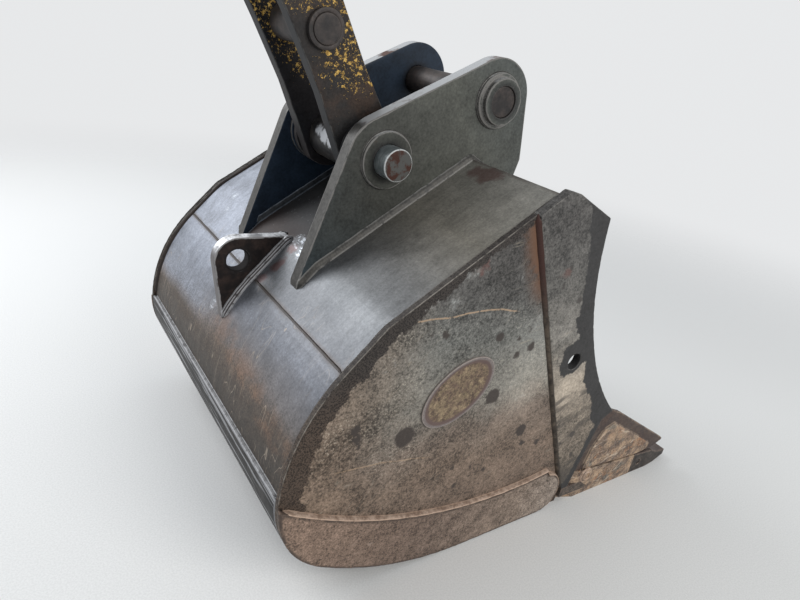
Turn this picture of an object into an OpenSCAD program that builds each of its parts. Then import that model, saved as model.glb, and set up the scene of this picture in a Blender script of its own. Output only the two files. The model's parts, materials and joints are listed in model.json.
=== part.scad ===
/* [Bucket shell] */
// Width over the outer faces of the two main side plates
bucket_w = 1250; // [900:10:1600]
// Thickness of a main side plate
side_t = 18; // [14:1:30]
// Thickness of the side bar along the opening
bar_t = 30; // [24:1:44]
// Thickness of the wrapper plates
wrap_t = 20; // [12:1:25]
// How far the side plates stand proud of the wrapper
side_proud = 12; // [8:1:24]
// Slope of the flat back plate
back_slope = 34; // [30:1:40]
// Length of the flat back plate, from the knee to the fold
back_len = 584; // [500:4:680]
// Length of the straight stretch from the cross seam up to the knee
knee_len = 150; // [100:5:200]
// Radius of the rear curve
rear_r = 520; // [460:10:600]
// Radius of the heel
heel_r = 280; // [220:10:340]
// Radius of the belly behind the flat stretch
belly_r = 1050; // [900:10:1200]
// Angle that the belly curve turns through
belly_sweep = 30; // [24:1:34]
// Where the flat belly starts, from the cross seam
flat_start = 538; // [480:2:600]
// Angle of the cross seam on the rear curve
seam_angle = 138; // [132:1:144]
// Angle up the rear curve that the heel wear plate reaches
heel_wear_angle = 179; // [168:1:179]

/* [Opening] */
// Where the cutting lip starts, from the cross seam
lip_rear = 1000; // [960:5:1040]
// Length of the cutting lip, front to back
lip_len = 150; // [120:5:200]
// Thickness of the cutting lip
lip_t = 40; // [30:1:60]
// Height of the lip's underside over the floor
lip_z = 24; // [21:1:34]
// Length of the bevel at the lip's front
lip_bevel = 45; // [20:1:60]
// Radius of the hollow front edge of the side bar
throat_r = 1050; // [900:10:1400]
// Diameter of the hole in the side bar
bar_hole_d = 56; // [40:2:70]
// Height of the hole in the side bar
bar_hole_z = 632; // [520:4:720]
// Distance of the hole from the bar's rear seam
bar_hole_in = 100; // [70:2:130]
// From the cross seam to the upper front corner of the side bar
bar_corner_x = 790; // [760:2:830]
// Height of the upper front corner of the side bar
bar_corner_z = 1100; // [1060:4:1140]
// From the lip's front to the lower front corner of the side bar
bar_low_out = 0; // [-20:1:20]
// Height of the lower front corner of the side bar
bar_low_z = 374; // [350:2:400]
// From the lip's front back to the foot of the side bar
bar_foot_in = 120; // [90:2:140]
// From the fold forward to the peak of the side bar
bar_peak_out = 10; // [0:1:30]
// From the fold back to the upper end of the side bar's seam
seam_back = 102; // [60:2:140]
// Length of the top plate from the fold forward
top_len = 212; // [170:2:250]
// Slope of the top plate, falling forward
top_slope = 27; // [20:1:32]
// From the fold back to the foot of the plate inside that closes the stiffening box
box_foot = 250; // [180:5:300]

/* [Ears and pins] */
// Clear gap between the two ears
ear_gap = 380; // [300:5:460]
// Thickness of one ear
ear_t = 45; // [35:1:60]
// Diameter of both pins
pin_d = 90; // [70:1:110]
// Radial running clearance of a pin in its bore
pin_fit = 0.08; // [0.05:0.01:0.1]
// Radius of an ear round its pin
ear_r = 120; // [100:2:140]
// Distance between the two pins
pin_span = 407; // [380:1:460]
// Angle of the line from the link pin to the stick pin
pin_line = 27.8; // [24:0.2:32]
// Outside radius of the weld-on ring round the link pin
ring_r = 80; // [70:1:95]
// Thickness of the rings on the ears
ring_t = 12; // [8:1:20]
// Radius of the stepped boss round the stick pin
boss_r = 68; // [60:1:80]
// How far the stepped boss stands out of the ear
boss_len = 30; // [20:1:45]
// How far the link pin stands out of the ear
pin_out = 65; // [40:1:90]
// From the cross seam to the link pin
link_pin_x = 288; // [270:2:310]
// Height of the link pin
link_pin_z = 1144; // [1120:2:1170]
// Radius of the rings between ears and link, round the link pin
inner_ring_r = 98; // [90:1:105]
// Thickness of the ring inside an ear
inner_ring_t = 14; // [8:1:20]

/* [Teeth] */
// Number of teeth
teeth_n = 5; // [3:1:7]
// Width of an adapter and of a tooth at its rear
tooth_w = 112; // [90:2:140]
// Length from the lip's front to the rear of a tooth
tooth_step = 278; // [240:2:320]
// Length of a tooth
tooth_len = 252; // [200:2:300]
// Height of a tooth at its rear
tooth_h = 92; // [80:1:110]
// Width of the tooth's tip
tip_w = 88; // [60:2:100]
// Thickness of the tooth's tip
tip_t = 27; // [15:1:40]
// Radius of the hollow on top of a tooth
tooth_hollow_r = 260; // [180:10:600]
// Diameter of a tooth pin
tooth_pin_d = 22; // [16:1:28]
// Height of an adapter's upper strap
strap_top = 119; // [112:1:126]
// Radius of the round boss on the outer sides of the corner adapters
plug_r = 30; // [20:1:34]

/* [Corner wings] */
// From the lip's front to the tip of a corner wing
wing_len = 462; // [430:2:490]
// Height of the tip of a corner wing
wing_tip_z = 121; // [116:1:140]
// Width of the low rim along a corner wing's upper edge
wing_rim = 44; // [24:2:60]
// Length of the raised pad on a corner wing
wing_pad_len = 350; // [280:5:380]
// How far the pad stands out of the wing
wing_step = 8; // [4:1:12]

/* [Lifting eye] */
// Thickness of the lifting eye
eye_t = 40; // [30:1:50]
// Diameter of the hole in the lifting eye
eye_hole_d = 67; // [50:1:76]
// Radius of the lifting eye round its hole
eye_r = 70; // [60:1:90]
// From the cross seam back to the hole of the lifting eye
eye_back = 34; // [24:1:44]
// Height of the hole of the lifting eye
eye_z = 781; // [760:1:810]
// Length of the lifting eye's straight top, forward of its hole
eye_top_len = 160; // [110:2:180]

/* [Wear plates] */
// Thickness of the wear plates on the side plates
side_wear_t = 16; // [10:1:22]
// Height of the side wear plate at the belly
side_wear_h = 166; // [120:2:200]
// Radius of the side wear plate's upper edge
side_wear_r = 1500; // [1200:50:2000]
// Height of the side wear plate at the back
side_wear_rear = 384; // [340:2:420]
// Where the side wear plate is lowest, from the cross seam
side_wear_low = 650; // [550:10:750]
// Front end of the side wear plate, from the cross seam
side_wear_front = 970; // [900:5:985]
// Length of the oval plate on the side
oval_len = 258; // [180:2:300]
// Height of the oval plate on the side
oval_h = 172; // [120:2:190]
// Thickness of the oval plate on the side
oval_t = 6; // [4:1:10]
// From the cross seam to the middle of the oval plate
oval_x = 376; // [330:2:420]
// Height of the middle of the oval plate
oval_z = 612; // [580:2:650]
// Tilt of the oval plate
oval_turn = 37; // [0:1:60]

/* [Bucket link] */
// Distance between the centres of the link's two end bores
link_span = 620; // [560:5:700]
// Clear gap between the link's two legs
leg_gap = 196; // [160:2:220]
// Thickness of one leg
leg_t = 45; // [35:1:60]
// Width of a leg at its middle
leg_w = 150; // [130:2:170]
// Radius of the hub round the link pin
hub_r = 72; // [66:1:80]
// Radius of a leg round the link pin
foot_r = 100; // [92:1:110]
// Thickness of the ring on the outside of a leg, round the hub
leg_ring_t = 18; // [10:1:24]
// Side play of the hub between the rings inside the ears
hub_play = 5.5; // [5:0.5:10]
// Distance from the link pin to the cross pin
cross_at = 352; // [320:2:400]
// Diameter of the cross pin
cross_pin_d = 76; // [60:1:84]
// Outside diameter of the tube and the collars on the cross pin
cross_tube_d = 100; // [94:1:120]
// Diameter of the bores at the link's upper end
top_bore_d = 80; // [60:1:90]
// Angle of the link over the floor as it is parked
link_angle = 121; // [116:1:124]

/* [Hidden] */
$fn = 96;

arc_step = 3;
cut = 0.5;
big = 4000;
// Gap at faces that would otherwise touch along a slant
seat_gap = 0.1;
half_w = bucket_w / 2;
inner_half = half_w - side_t;
bar_face = inner_half + bar_t;
lip_top = lip_z + lip_t;
lip_front = lip_rear + lip_len;

function rel(p, a, r) = p + r * [cos(a), sin(a)];
function arc(c, r, a0, a1) =
    let (n = max(2, ceil(abs(a1 - a0) / arc_step)))
    [for (i = [0:n]) rel(c, a0 + (a1 - a0) * i / n, r)];
function unit(v) = v / norm(v);
function inward(v) = [v.y, -v.x];
function slice(p, i, j) = [for (k = [i:j]) p[k]];
function turned(p) = [for (k = [len(p) - 1:-1:0]) p[k]];
// A path moved inward by d, with mitred corners
function moved(p, d) = [for (i = [0:len(p) - 1])
    let (last = len(p) - 1,
         n1 = inward(unit(i > 0 ? p[i] - p[i - 1] : p[1] - p[0])),
         n2 = inward(unit(i < last ? p[i + 1] - p[i] : p[last] - p[last - 1])))
    p[i] + d * (n1 + n2) / (1 + n1 * n2)];
// The layer between two paths, from point i to point j
function layer(outer, inner, i, j) = concat(slice(outer, i, j), turned(slice(inner, i, j)));
// A hollow arc of radius r from point a to point b
function hollow(a, b, r) =
    let (half = norm(b - a) / 2, line = atan2(b.y - a.y, b.x - a.x), turn = asin(half / r))
    arc(rel((a + b) / 2, line + 90, sqrt(r * r - half * half)), r, line - 90 - turn, line - 90 + turn);
// The point at height z on the line through a and b
function at_height(a, b, z) = [a.x + (b.x - a.x) * (z - a.y) / (b.y - a.y), z];

// Centres of the three tangent curves of the side outline, and the two folds above them
belly_c = [flat_start, belly_r];
belly_end = 270 - belly_sweep;
heel_c = rel(belly_c, belly_end, belly_r - heel_r);
rear_c = heel_c + [rear_r - heel_r, 0];
knee = rel(rel(rear_c, seam_angle, rear_r), seam_angle - 90, knee_len);
fold = rel(knee, back_slope, back_len);

belly_arc = arc(belly_c, belly_r, 270, belly_end);
heel_arc = arc(heel_c, heel_r, belly_end, 180);
low_rear_arc = arc(rear_c, rear_r, 180, heel_wear_angle);
mid_rear_arc = arc(rear_c, rear_r, heel_wear_angle, seam_angle);
skin = concat([[lip_rear, 0]], belly_arc, slice(heel_arc, 1, len(heel_arc) - 1),
              slice(low_rear_arc, 1, len(low_rear_arc) - 1),
              slice(mid_rear_arc, 1, len(mid_rear_arc) - 1), [knee, fold]);
wear_i = len(belly_arc) + len(heel_arc) + len(low_rear_arc) - 2;
seam_i = wear_i + len(mid_rear_arc) - 1;
fold_i = len(skin) - 1;

// Outline of the whole side, with the hollow front edge
bar_peak = rel(fold, back_slope, bar_peak_out);
bar_nose = bar_peak + [40, -8];
bar_corner = [bar_corner_x, bar_corner_z];
bar_low = [lip_front + bar_low_out, bar_low_z];
bar_neck = bar_low - [50, 29];
bar_foot = [lip_front - bar_foot_in, lip_top];
rim = concat(slice(skin, 0, fold_i), [bar_peak, bar_nose], hollow(bar_corner, bar_low, throat_r),
             [bar_neck, bar_foot, [lip_rear, lip_top]]);
// The seam between side plate and side bar runs straight from seam_top down to the lip
seam_top = rel(fold, 180 + back_slope, seam_back);
seam_foot = [lip_rear, lip_top];
// A point above the seam, clear of the side's outline
seam_over = seam_top + [0, 200];
bar_hole_at = at_height(seam_foot, seam_top, bar_hole_z) + [bar_hole_in, 0];

// The wrapper's outer face, which carries the ears and the lifting eye
back_face = moved(skin, side_proud);
top_end = rel(back_face[fold_i], -top_slope, top_len);
outer_face = concat(back_face, [top_end]);
inner_face = moved(outer_face, wrap_t);

// Pins, in the side view
link_pin_at = [link_pin_x, link_pin_z];
stick_pin_at = rel(link_pin_at, pin_line, pin_span);
ear_half = ear_gap / 2;
ear_face = ear_half + ear_t;

tip_x = lip_front + tooth_step + tooth_len;
heel_x = heel_c.x - heel_r;
// The part's origin is midway between heel and tooth tips, on the floor
mid_x = (tip_x + heel_x) / 2;

module stand() {
    translate([-mid_x, 0, 0]) children();
}
// A side-view outline as a plate from y0 to y1
module plate_y(points, y0, y1) {
    translate([0, y1, 0]) rotate([90, 0, 0]) linear_extrude(y1 - y0) polygon(points);
}
// A round bar across the bucket at a point of the side view
module rod(at, r, y0, y1) {
    translate([at.x, y1, at.y]) rotate([90, 0, 0]) cylinder(r = r, h = y1 - y0);
}
module left_right(side) {
    if (side > 0) children();
    else mirror([0, 1, 0]) children();
}
// All that lies inside the wrapper's outer face
module shell_fill(y0, y1) {
    plate_y(concat(outer_face, [[top_end.x, 0]]), y0, y1);
}

module side_plate(side) {
    color("rosybrown") stand() left_right(side) intersection() {
        plate_y(rim, inner_half, half_w);
        plate_y([[-big, -1], [lip_rear, -1], [lip_rear, lip_top], seam_top,
                 seam_over, [-big, big]], inner_half - 1, half_w + 1);
    }
}

module side_bar(side) {
    color("dimgray") stand() left_right(side) difference() {
        intersection() {
            plate_y(rim, inner_half, bar_face);
            plate_y([[lip_rear, lip_top], [big, lip_top], [big, big], seam_over, seam_top],
                    inner_half - 1, bar_face + 1);
        }
        rod(bar_hole_at, bar_hole_d / 2, inner_half - cut, bar_face + cut);
    }
}

// Wear plate low on the outside of the side plate, with a rounded front end
module side_wear(side) {
    end_r = side_wear_h / 2;
    end_at = [side_wear_front - end_r, end_r];
    arc_c = [side_wear_low, side_wear_h + side_wear_r];
    rear_a = 270 - acos((arc_c.y - side_wear_rear) / side_wear_r);
    front_a = 270 + asin((end_at.x - side_wear_low) / side_wear_r);
    color("saddlebrown") stand() left_right(side) intersection() {
        plate_y(rim, half_w, half_w + side_wear_t);
        plate_y(concat([[-big, side_wear_rear]], arc(arc_c, side_wear_r, rear_a, front_a),
                       arc(end_at, end_r, 90, -90), [[-big, 0]]), half_w - 1, half_w + side_wear_t + 1);
    }
}

// Blank oval plate on each side
module oval_plates() {
    step = 7.5;
    color("saddlebrown") stand() for (side = [-1, 1]) left_right(side)
        translate([oval_x, half_w + oval_t, oval_z]) rotate([90, -oval_turn, 0]) linear_extrude(oval_t)
            polygon([for (a = [0:step:360 - step]) [oval_len / 2 * cos(a), oval_h / 2 * sin(a)]]);
}

module back_plate() {
    color("slategray") stand()
        plate_y(layer(outer_face, inner_face, seam_i, fold_i), -inner_half, inner_half);
}

module heel_plate() {
    color("gray") stand()
        plate_y(layer(outer_face, inner_face, 0, seam_i), -inner_half, inner_half);
}

module heel_wear_plate() {
    color("dimgray") stand() plate_y(layer(skin, back_face, 0, wear_i), -inner_half, inner_half);
}

// Top plate, folded down from the back plate to the mouth
module top_plate() {
    color("slategray") stand()
        plate_y(layer(outer_face, inner_face, fold_i, fold_i + 1), -inner_half, inner_half);
}

// Plate that closes the stiffening box behind the mouth
module box_plate() {
    top = rel(inner_face[fold_i + 1], -top_slope - 90, seat_gap);
    foot = rel(rel(inner_face[fold_i], 180 + back_slope, box_foot), back_slope - 90, seat_gap);
    run = atan2(top.y - foot.y, top.x - foot.x);
    color("gray") stand() plate_y([top, foot, rel(foot, back_slope, wrap_t / sin(back_slope - run)),
        rel(top, 180 - top_slope, wrap_t / sin(run + top_slope))], -inner_half, inner_half);
}

module lip() {
    color("dimgray") stand() plate_y([[lip_rear, lip_z], [lip_front - lip_nose, lip_z],
        [lip_front, lip_z + lip_nose], [lip_front - lip_bevel, lip_top], [lip_rear, lip_top]], -bar_face, bar_face);
}

// An adapter has two straps round the lip and a nose for the tooth
nose_x = lip_front + tooth_step;
nose_len = tooth_len * 0.45;
nose_w = tooth_w - 44;
nose_fit = 1;
strap_rear = bar_foot.x + 6;
strap_head = strap_rear + 40;
adapter_rear = lip_rear + 12;
lip_nose = 8;
tooth_y = [for (i = [0:teeth_n - 1]) (i / (teeth_n - 1) - 0.5) * (2 * bar_face - tooth_w)];
tooth_pin_at = [nose_x + 48, 44];
tooth_pin_fit = 0.1;

adapter_side = [[adapter_rear, 0], [nose_x, 0], [nose_x, tooth_h], [strap_head, strap_top],
                [strap_rear + 18, strap_top], [strap_rear, lip_top], [lip_front - lip_bevel, lip_top],
                [lip_front, lip_z + lip_nose], [lip_front - lip_nose, lip_z], [adapter_rear, lip_z]];
// Seen from above, an adapter narrows to the rear
adapter_plan = [[adapter_rear - cut, tooth_w / 2 - 26], [adapter_rear + 70, tooth_w / 2],
                [nose_x + cut, tooth_w / 2]];
function nose_side(d) = [[nose_x - cut, 12 - d], [nose_x + nose_len + d, 22 - d],
    [nose_x + nose_len + d, 50 + d], [nose_x - cut, tooth_h - 14 + d]];

module adapters() {
    plug_at = [strap_head + 46, tooth_h];
    plug_t = 5;
    color("sienna") stand() {
        for (y = tooth_y) difference() {
            union() {
                intersection() {
                    plate_y(adapter_side, y - tooth_w / 2, y + tooth_w / 2);
                    translate([0, y, -cut]) linear_extrude(strap_top + 1)
                        polygon(concat(adapter_plan, [for (p = turned(adapter_plan)) [p.x, -p.y]]));
                }
                plate_y(nose_side(0), y - nose_w / 2, y + nose_w / 2);
                if (abs(y) > bar_face - tooth_w)
                    left_right(sign(y)) rod(plug_at, plug_r, bar_face - plug_t, bar_face + plug_t);
            }
            rod(tooth_pin_at, tooth_pin_d / 2 + tooth_pin_fit, y - tooth_w, y + tooth_w);
        }
    }
}

module teeth() {
    tip_low = [tip_x, 16];
    tip_high = tip_low + [0, tip_t];
    shoulder = [nose_x + tooth_len * 0.5, 82];
    side_len = tooth_len * 0.45;
    color("darkslategray") stand() for (y = tooth_y) difference() {
        intersection() {
            plate_y(concat([[nose_x, 0], [tip_x - 80, 0], tip_low],
                           turned(hollow(shoulder, tip_high, tooth_hollow_r)), [[nose_x, tooth_h]]),
                    y - tooth_w, y + tooth_w);
            translate([nose_x, y, -1]) linear_extrude(tooth_h + 2)
                polygon([[0, -tooth_w / 2], [side_len, -tooth_w / 2], [tooth_len, -tip_w / 2],
                         [tooth_len, tip_w / 2], [side_len, tooth_w / 2], [0, tooth_w / 2]]);
        }
        plate_y(nose_side(nose_fit), y - nose_w / 2 - nose_fit, y + nose_w / 2 + nose_fit);
        rod(tooth_pin_at, tooth_pin_d / 2 + tooth_pin_fit, y - tooth_w, y + tooth_w);
    }
}

module tooth_pins() {
    pin_half = tooth_w / 2 - 4;
    color("gray") stand() for (y = tooth_y) rod(tooth_pin_at, tooth_pin_d / 2, y - pin_half, y + pin_half);
}

// Cast wing that closes the corner between side bar and adapter, with a raised pad on its outside
module corner_wing(side) {
    foot = at_height(bar_foot, bar_neck, strap_top);
    head = bar_low + [50, -22];
    tip = [lip_front + wing_len, wing_tip_z];
    edge = [head + [22, -8], tip + [-8, 7]];
    wing_side = [foot, [strap_head, strap_top], [nose_x, tooth_h + seat_gap], tip + [-69, -31],
                 tip + [-6, -9], tip, edge[1], edge[0], head, bar_low, bar_neck];
    pad_head = moved(edge, wing_rim)[0];
    pad_tip = pad_head + wing_pad_len * unit(edge[1] - edge[0]);
    // Height of a point on the pad's rear edge and its distance from the side bar
    pad_rear = [[127, 44], [210, 40], [288, 62]];
    pad_side = concat([pad_head, pad_tip, pad_tip + [-4, -20], pad_tip + [-28, -33], [nose_x, tooth_h + 6]],
                      [for (p = pad_rear) at_height(bar_foot, bar_neck, p[0]) + [p[1], 0]]);
    color("saddlebrown") stand() left_right(side) {
        plate_y(wing_side, inner_half, bar_face - wing_step);
        plate_y(pad_side, inner_half, bar_face);
    }
}

module ear(side) {
    rear_turn = 164;
    top_turn = 90 + pin_line;
    front_turn = 12;
    rear_foot = [58, 700];
    front_corner = [800, 1165];
    front_edge = [[top_end.x, 1100], [top_end.x, 1000]];
    ear_side = concat([rear_foot, rear_foot + [0, 90]],
        arc(link_pin_at, ear_r, rear_turn, top_turn),
        arc(stick_pin_at, ear_r, top_turn, front_turn),
        [front_corner], front_edge);
    color("darkolivegreen") stand() left_right(side) difference() {
        plate_y(ear_side, ear_half, ear_face);
        shell_fill(ear_half - 1, ear_face + 1);
        rod(link_pin_at, pin_d / 2 + pin_fit, ear_half - cut, ear_face + cut);
        rod(stick_pin_at, pin_d / 2 + pin_fit, ear_half - cut, ear_face + cut);
    }
}

// A ring on both sides, bored for a pin
module rings(at, r, bore_r, y0, t) {
    for (side = [-1, 1]) left_right(side) difference() {
        rod(at, r, y0, y0 + t);
        rod(at, bore_r, y0 - cut, y0 + t + cut);
    }
}

module link_pin_rings() {
    color("olivedrab") stand() rings(link_pin_at, ring_r, pin_d / 2 + pin_fit, ear_face, ring_t);
}

module ear_inner_rings() {
    color("olivedrab") stand()
        rings(link_pin_at, inner_ring_r, pin_d / 2 + pin_fit, ear_half - inner_ring_t, inner_ring_t);
}

module stick_pin_bosses() {
    color("olivedrab") stand() for (side = [-1, 1]) left_right(side) difference() {
        union() {
            rod(stick_pin_at, ring_r, ear_face, ear_face + ring_t);
            rod(stick_pin_at, boss_r, ear_face, ear_face + boss_len);
        }
        rod(stick_pin_at, pin_d / 2 + pin_fit, ear_face - cut, ear_face + boss_len + cut);
    }
}

module link_pin() {
    color("lightsteelblue") stand() rod(link_pin_at, pin_d / 2, -ear_face - pin_out, ear_face + pin_out);
}

module stick_pin() {
    pin_half = ear_face + boss_len - 4;
    color("slategray") stand() rod(stick_pin_at, pin_d / 2, -pin_half, pin_half);
}

// Lifting eye over the cross seam
module lifting_eye() {
    eye_at = [-eye_back, eye_z];
    rear_turn = 190;
    root = [-69, 575];
    front = eye_at + [eye_top_len, eye_r];
    eye_side = concat([root], turned(arc(eye_at, eye_r, 90, rear_turn)), [front, [front.x + 42, root.y]]);
    color("darkslategray") stand() difference() {
        plate_y(eye_side, -eye_t / 2, eye_t / 2);
        shell_fill(-eye_t, eye_t);
        rod(eye_at, eye_hole_d / 2, -eye_t, eye_t);
    }
}

// The bucket link is drawn along its own length and then leaned back
module on_link() {
    stand() translate([link_pin_at.x, 0, link_pin_at.y]) rotate([0, -link_angle, 0]) children();
}
link_top = [link_span, 0];
cross_c = [cross_at, 0];
leg_out = leg_gap / 2 + leg_t;
cross_fit = 0.1;
collar_t = 16;

module link_leg(side) {
    head_r = 88;
    foot_turn = 110;
    head_turn = 70;
    neck = [cross_at * 0.6, cross_at * 1.1];
    leg_side = concat(arc([0, 0], foot_r, foot_turn, 360 - foot_turn), [for (x = neck) [x, -leg_w / 2]],
                      arc(link_top, head_r, -head_turn, head_turn), [for (x = turned(neck)) [x, leg_w / 2]]);
    color("sienna") on_link() left_right(side) difference() {
        plate_y(leg_side, leg_gap / 2, leg_out);
        rod([0, 0], hub_r, leg_gap / 2 - cut, leg_out + cut);
        rod(link_top, top_bore_d / 2 + pin_fit, leg_gap / 2 - cut, leg_out + cut);
        rod(cross_c, cross_pin_d / 2 + cross_fit, leg_gap / 2 - cut, leg_out + cut);
    }
}

module link_hub() {
    hub_half = ear_half - inner_ring_t - hub_play;
    color("gray") on_link() difference() {
        rod([0, 0], hub_r, -hub_half, hub_half);
        rod([0, 0], pin_d / 2 + pin_fit, -hub_half - cut, hub_half + cut);
    }
}

module link_hub_rings() {
    color("sienna") on_link() rings([0, 0], inner_ring_r, hub_r, leg_out, leg_ring_t);
}

module link_bosses() {
    boss_t = 14;
    color("sienna") on_link() rings(link_top, boss_r, top_bore_d / 2 + pin_fit, leg_out, boss_t);
}

module cross_tube() {
    color("gray") on_link() difference() {
        rod(cross_c, cross_tube_d / 2, -leg_gap / 2, leg_gap / 2);
        rod(cross_c, cross_pin_d / 2 + cross_fit, -leg_gap / 2 - cut, leg_gap / 2 + cut);
    }
}

module cross_collars() {
    color("dimgray") on_link() rings(cross_c, cross_tube_d / 2, cross_pin_d / 2 + cross_fit, leg_out, collar_t);
}

module cross_pin() {
    pin_half = leg_out + collar_t + 4;
    color("rosybrown") on_link() rod(cross_c, cross_pin_d / 2, -pin_half, pin_half);
}

side_plate(1);  // side_plate_left
side_plate(-1);  // side_plate_right
side_bar(1);  // side_bar_left
side_bar(-1);  // side_bar_right
side_wear(1);  // side_wear_left
side_wear(-1);  // side_wear_right
oval_plates();
back_plate();
heel_plate();
heel_wear_plate();
top_plate();
box_plate();
lip();
adapters();
teeth();
tooth_pins();
corner_wing(1);  // corner_wing_left
corner_wing(-1);  // corner_wing_right
ear(1);  // ear_left
ear(-1);  // ear_right
link_pin_rings();
ear_inner_rings();
stick_pin_bosses();
link_pin();
stick_pin();
lifting_eye();
link_leg(1);  // link_leg_left
link_leg(-1);  // link_leg_right
link_hub();
link_hub_rings();
link_bosses();
cross_tube();
cross_collars();
cross_pin();
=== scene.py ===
"""Looks of an excavator bucket with its bucket link: fine copies of the plates, welds and worn steel."""
import json
import math
import random

import bmesh
import bpy
import numpy as np
from mathutils import Matrix, Vector, noise
from mathutils.kdtree import KDTree


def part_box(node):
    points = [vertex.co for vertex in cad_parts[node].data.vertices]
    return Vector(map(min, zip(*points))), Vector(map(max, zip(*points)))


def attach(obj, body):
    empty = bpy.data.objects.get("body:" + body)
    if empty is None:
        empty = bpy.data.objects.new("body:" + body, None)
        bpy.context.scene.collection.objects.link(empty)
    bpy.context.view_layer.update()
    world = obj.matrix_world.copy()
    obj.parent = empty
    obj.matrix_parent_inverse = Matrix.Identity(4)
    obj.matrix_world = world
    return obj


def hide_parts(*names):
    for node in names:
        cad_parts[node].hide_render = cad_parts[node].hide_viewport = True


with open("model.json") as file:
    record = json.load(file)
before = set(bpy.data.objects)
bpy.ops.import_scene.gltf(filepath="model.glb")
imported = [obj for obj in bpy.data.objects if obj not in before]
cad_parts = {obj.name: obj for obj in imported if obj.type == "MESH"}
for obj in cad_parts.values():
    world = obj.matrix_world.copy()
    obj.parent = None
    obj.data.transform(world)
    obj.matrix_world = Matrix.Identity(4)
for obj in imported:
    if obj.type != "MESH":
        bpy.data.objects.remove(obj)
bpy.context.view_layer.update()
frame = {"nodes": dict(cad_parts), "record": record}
NODES = frame["nodes"]
BODY = {n: b for b, names in frame["record"]["behaviour"]["bodies"].items() for n in names}
SLOT = {s["node"]: s["material_slot"] for s in frame["record"]["subparts"]}

# Places and sizes, in metres. Side views are given from the cross seam forward and from the floor up.
LINK_PIN = (0.288, 1.144)
SEAM_X = (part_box("link_pin")[0].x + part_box("link_pin")[1].x) / 2 - LINK_PIN[0]
PIN_LINE = math.radians(27.8)
PIN_SPAN = 0.407
STICK_PIN = (LINK_PIN[0] + PIN_SPAN * math.cos(PIN_LINE), LINK_PIN[1] + PIN_SPAN * math.sin(PIN_LINE))
BACK_SLOPE, TOP_SLOPE = math.radians(34), math.radians(27)
BELLY_R, HEEL_R, REAR_R = 1.05, 0.28, 0.52
BELLY_SWEEP = math.radians(30)
FLAT_START = 0.538
SEAM_ANGLE, HEEL_WEAR_ANGLE = math.radians(138), math.radians(179)
KNEE_LEN, BACK_LEN, TOP_LEN = 0.15, 0.584, 0.212
SEAM_BACK = 0.102
SEAM_FOOT = (1.0, 0.064)
PROUD = 0.012
RING_R, PIN_R = 0.08, 0.045
EYE_HOLE, EYE_BORE_R = (-0.034, 0.781), 0.0385
OVAL, OVAL_LEN, OVAL_H, OVAL_TURN = (0.376, 0.612), 0.258, 0.172, math.radians(37)
WEAR_H, WEAR_R, WEAR_LOW, WEAR_REAR, WEAR_FRONT, WEAR_START = 0.166, 1.5, 0.65, 0.384, 0.97, -0.117
PLUG, PLUG_R, PLUG_OUT = (1.122, 0.092), 0.03, 0.005
HALF_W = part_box("side_plate_left")[1].y
BAR_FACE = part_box("side_bar_left")[1].y
INNER_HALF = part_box("side_plate_left")[0].y
EAR_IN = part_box("ear_left")[0].y
EAR_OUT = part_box("ear_left")[1].y
EYE_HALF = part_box("lifting_eye")[1].y
WEAR_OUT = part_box("side_wear_left")[1].y
LINK_ANGLE = math.radians(121)
SIDES = ((1, "left"), (-1, "right"))

# How fine the copies are
STEP = 0.01
HEEL_STEP = 1.4 * STEP
MERGE = 1e-5
FLAT, SHARP = math.radians(0.4), math.radians(28)
# Sizes of dents and of nicks in edges, and how far nicks reach from an edge
DENT_SIZE, NICK_SIZE, NICK_REACH = 0.16, 0.018, 0.008
# A face looks along an axis where its normal has more than this along it
FACING = 0.6


def new_object(name, data):
    obj = bpy.data.objects.new(name, data)
    bpy.context.scene.collection.objects.link(obj)
    return obj


# Camera, floor and light
def camera():
    right, up = Vector((0.824, -0.5422, 0.1644)), Vector((0.0945, 0.4175, 0.9038))
    back = right.cross(up)
    data = bpy.data.cameras.new("camera")
    data.sensor_width, data.lens = 36, 27
    data.clip_start, data.clip_end = 0.05, 100
    obj = new_object("camera", data)
    turn = Matrix((right, up, back)).transposed().to_4x4()
    obj.matrix_world = Matrix.Translation((SEAM_X - 0.642, -1.625, 1.456)) @ turn
    bpy.context.scene.camera = obj


def studio():
    """A pale background for what looks at it, and a plain soft light"""
    bpy.context.scene.view_settings.view_transform = "Standard"
    world = bpy.data.worlds.new("studio")
    bpy.context.scene.world = world
    world.use_nodes = True
    world.node_tree.nodes.clear()
    n = Nodes(world.node_tree)
    rays = n.add("LightPath").outputs
    seen = n.either(n.either(rays["Is Camera Ray"], rays["Is Glossy Ray"]), rays["Is Transmission Ray"])
    light = n.add("Background", {"Color": (0.92, 0.96, 1.0), "Strength": 0.6})
    backdrop = n.add("Background", {"Color": (0.8, 0.81, 0.82), "Strength": 1.0})
    mixed = n.add("MixShader", {0: seen, 1: light.outputs[0], 2: backdrop.outputs[0]})
    n.add("OutputWorld", {"Surface": mixed.outputs[0]})


def pale_floor():
    """A floor that fades into the background away from the object"""
    bpy.ops.mesh.primitive_plane_add(size=40)
    floor = bpy.context.object
    floor.name = "floor"
    s = Surface("floor")
    grit = s.noise(180, 4, 0.7, seed=201)
    s.colour = s.mix(s.ease(grit, 0.35, 0.65), (0.66, 0.66, 0.65), (0.74, 0.74, 0.73))
    s.finish(0.9, 0.0, specular=0.1)
    away = s.add("VectorMath", {0: s.place}, operation="LENGTH").outputs["Value"]
    clear = s.add("BsdfTransparent").outputs[0]
    mixed = s.add("MixShader", {0: s.ease(away, 1.4, 6.5), 1: s.shader.outputs[0], 2: clear})
    s.fill(s.tree.nodes["Material Output"], {"Surface": mixed.outputs[0]})
    floor.data.materials.append(s.mat)


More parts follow.
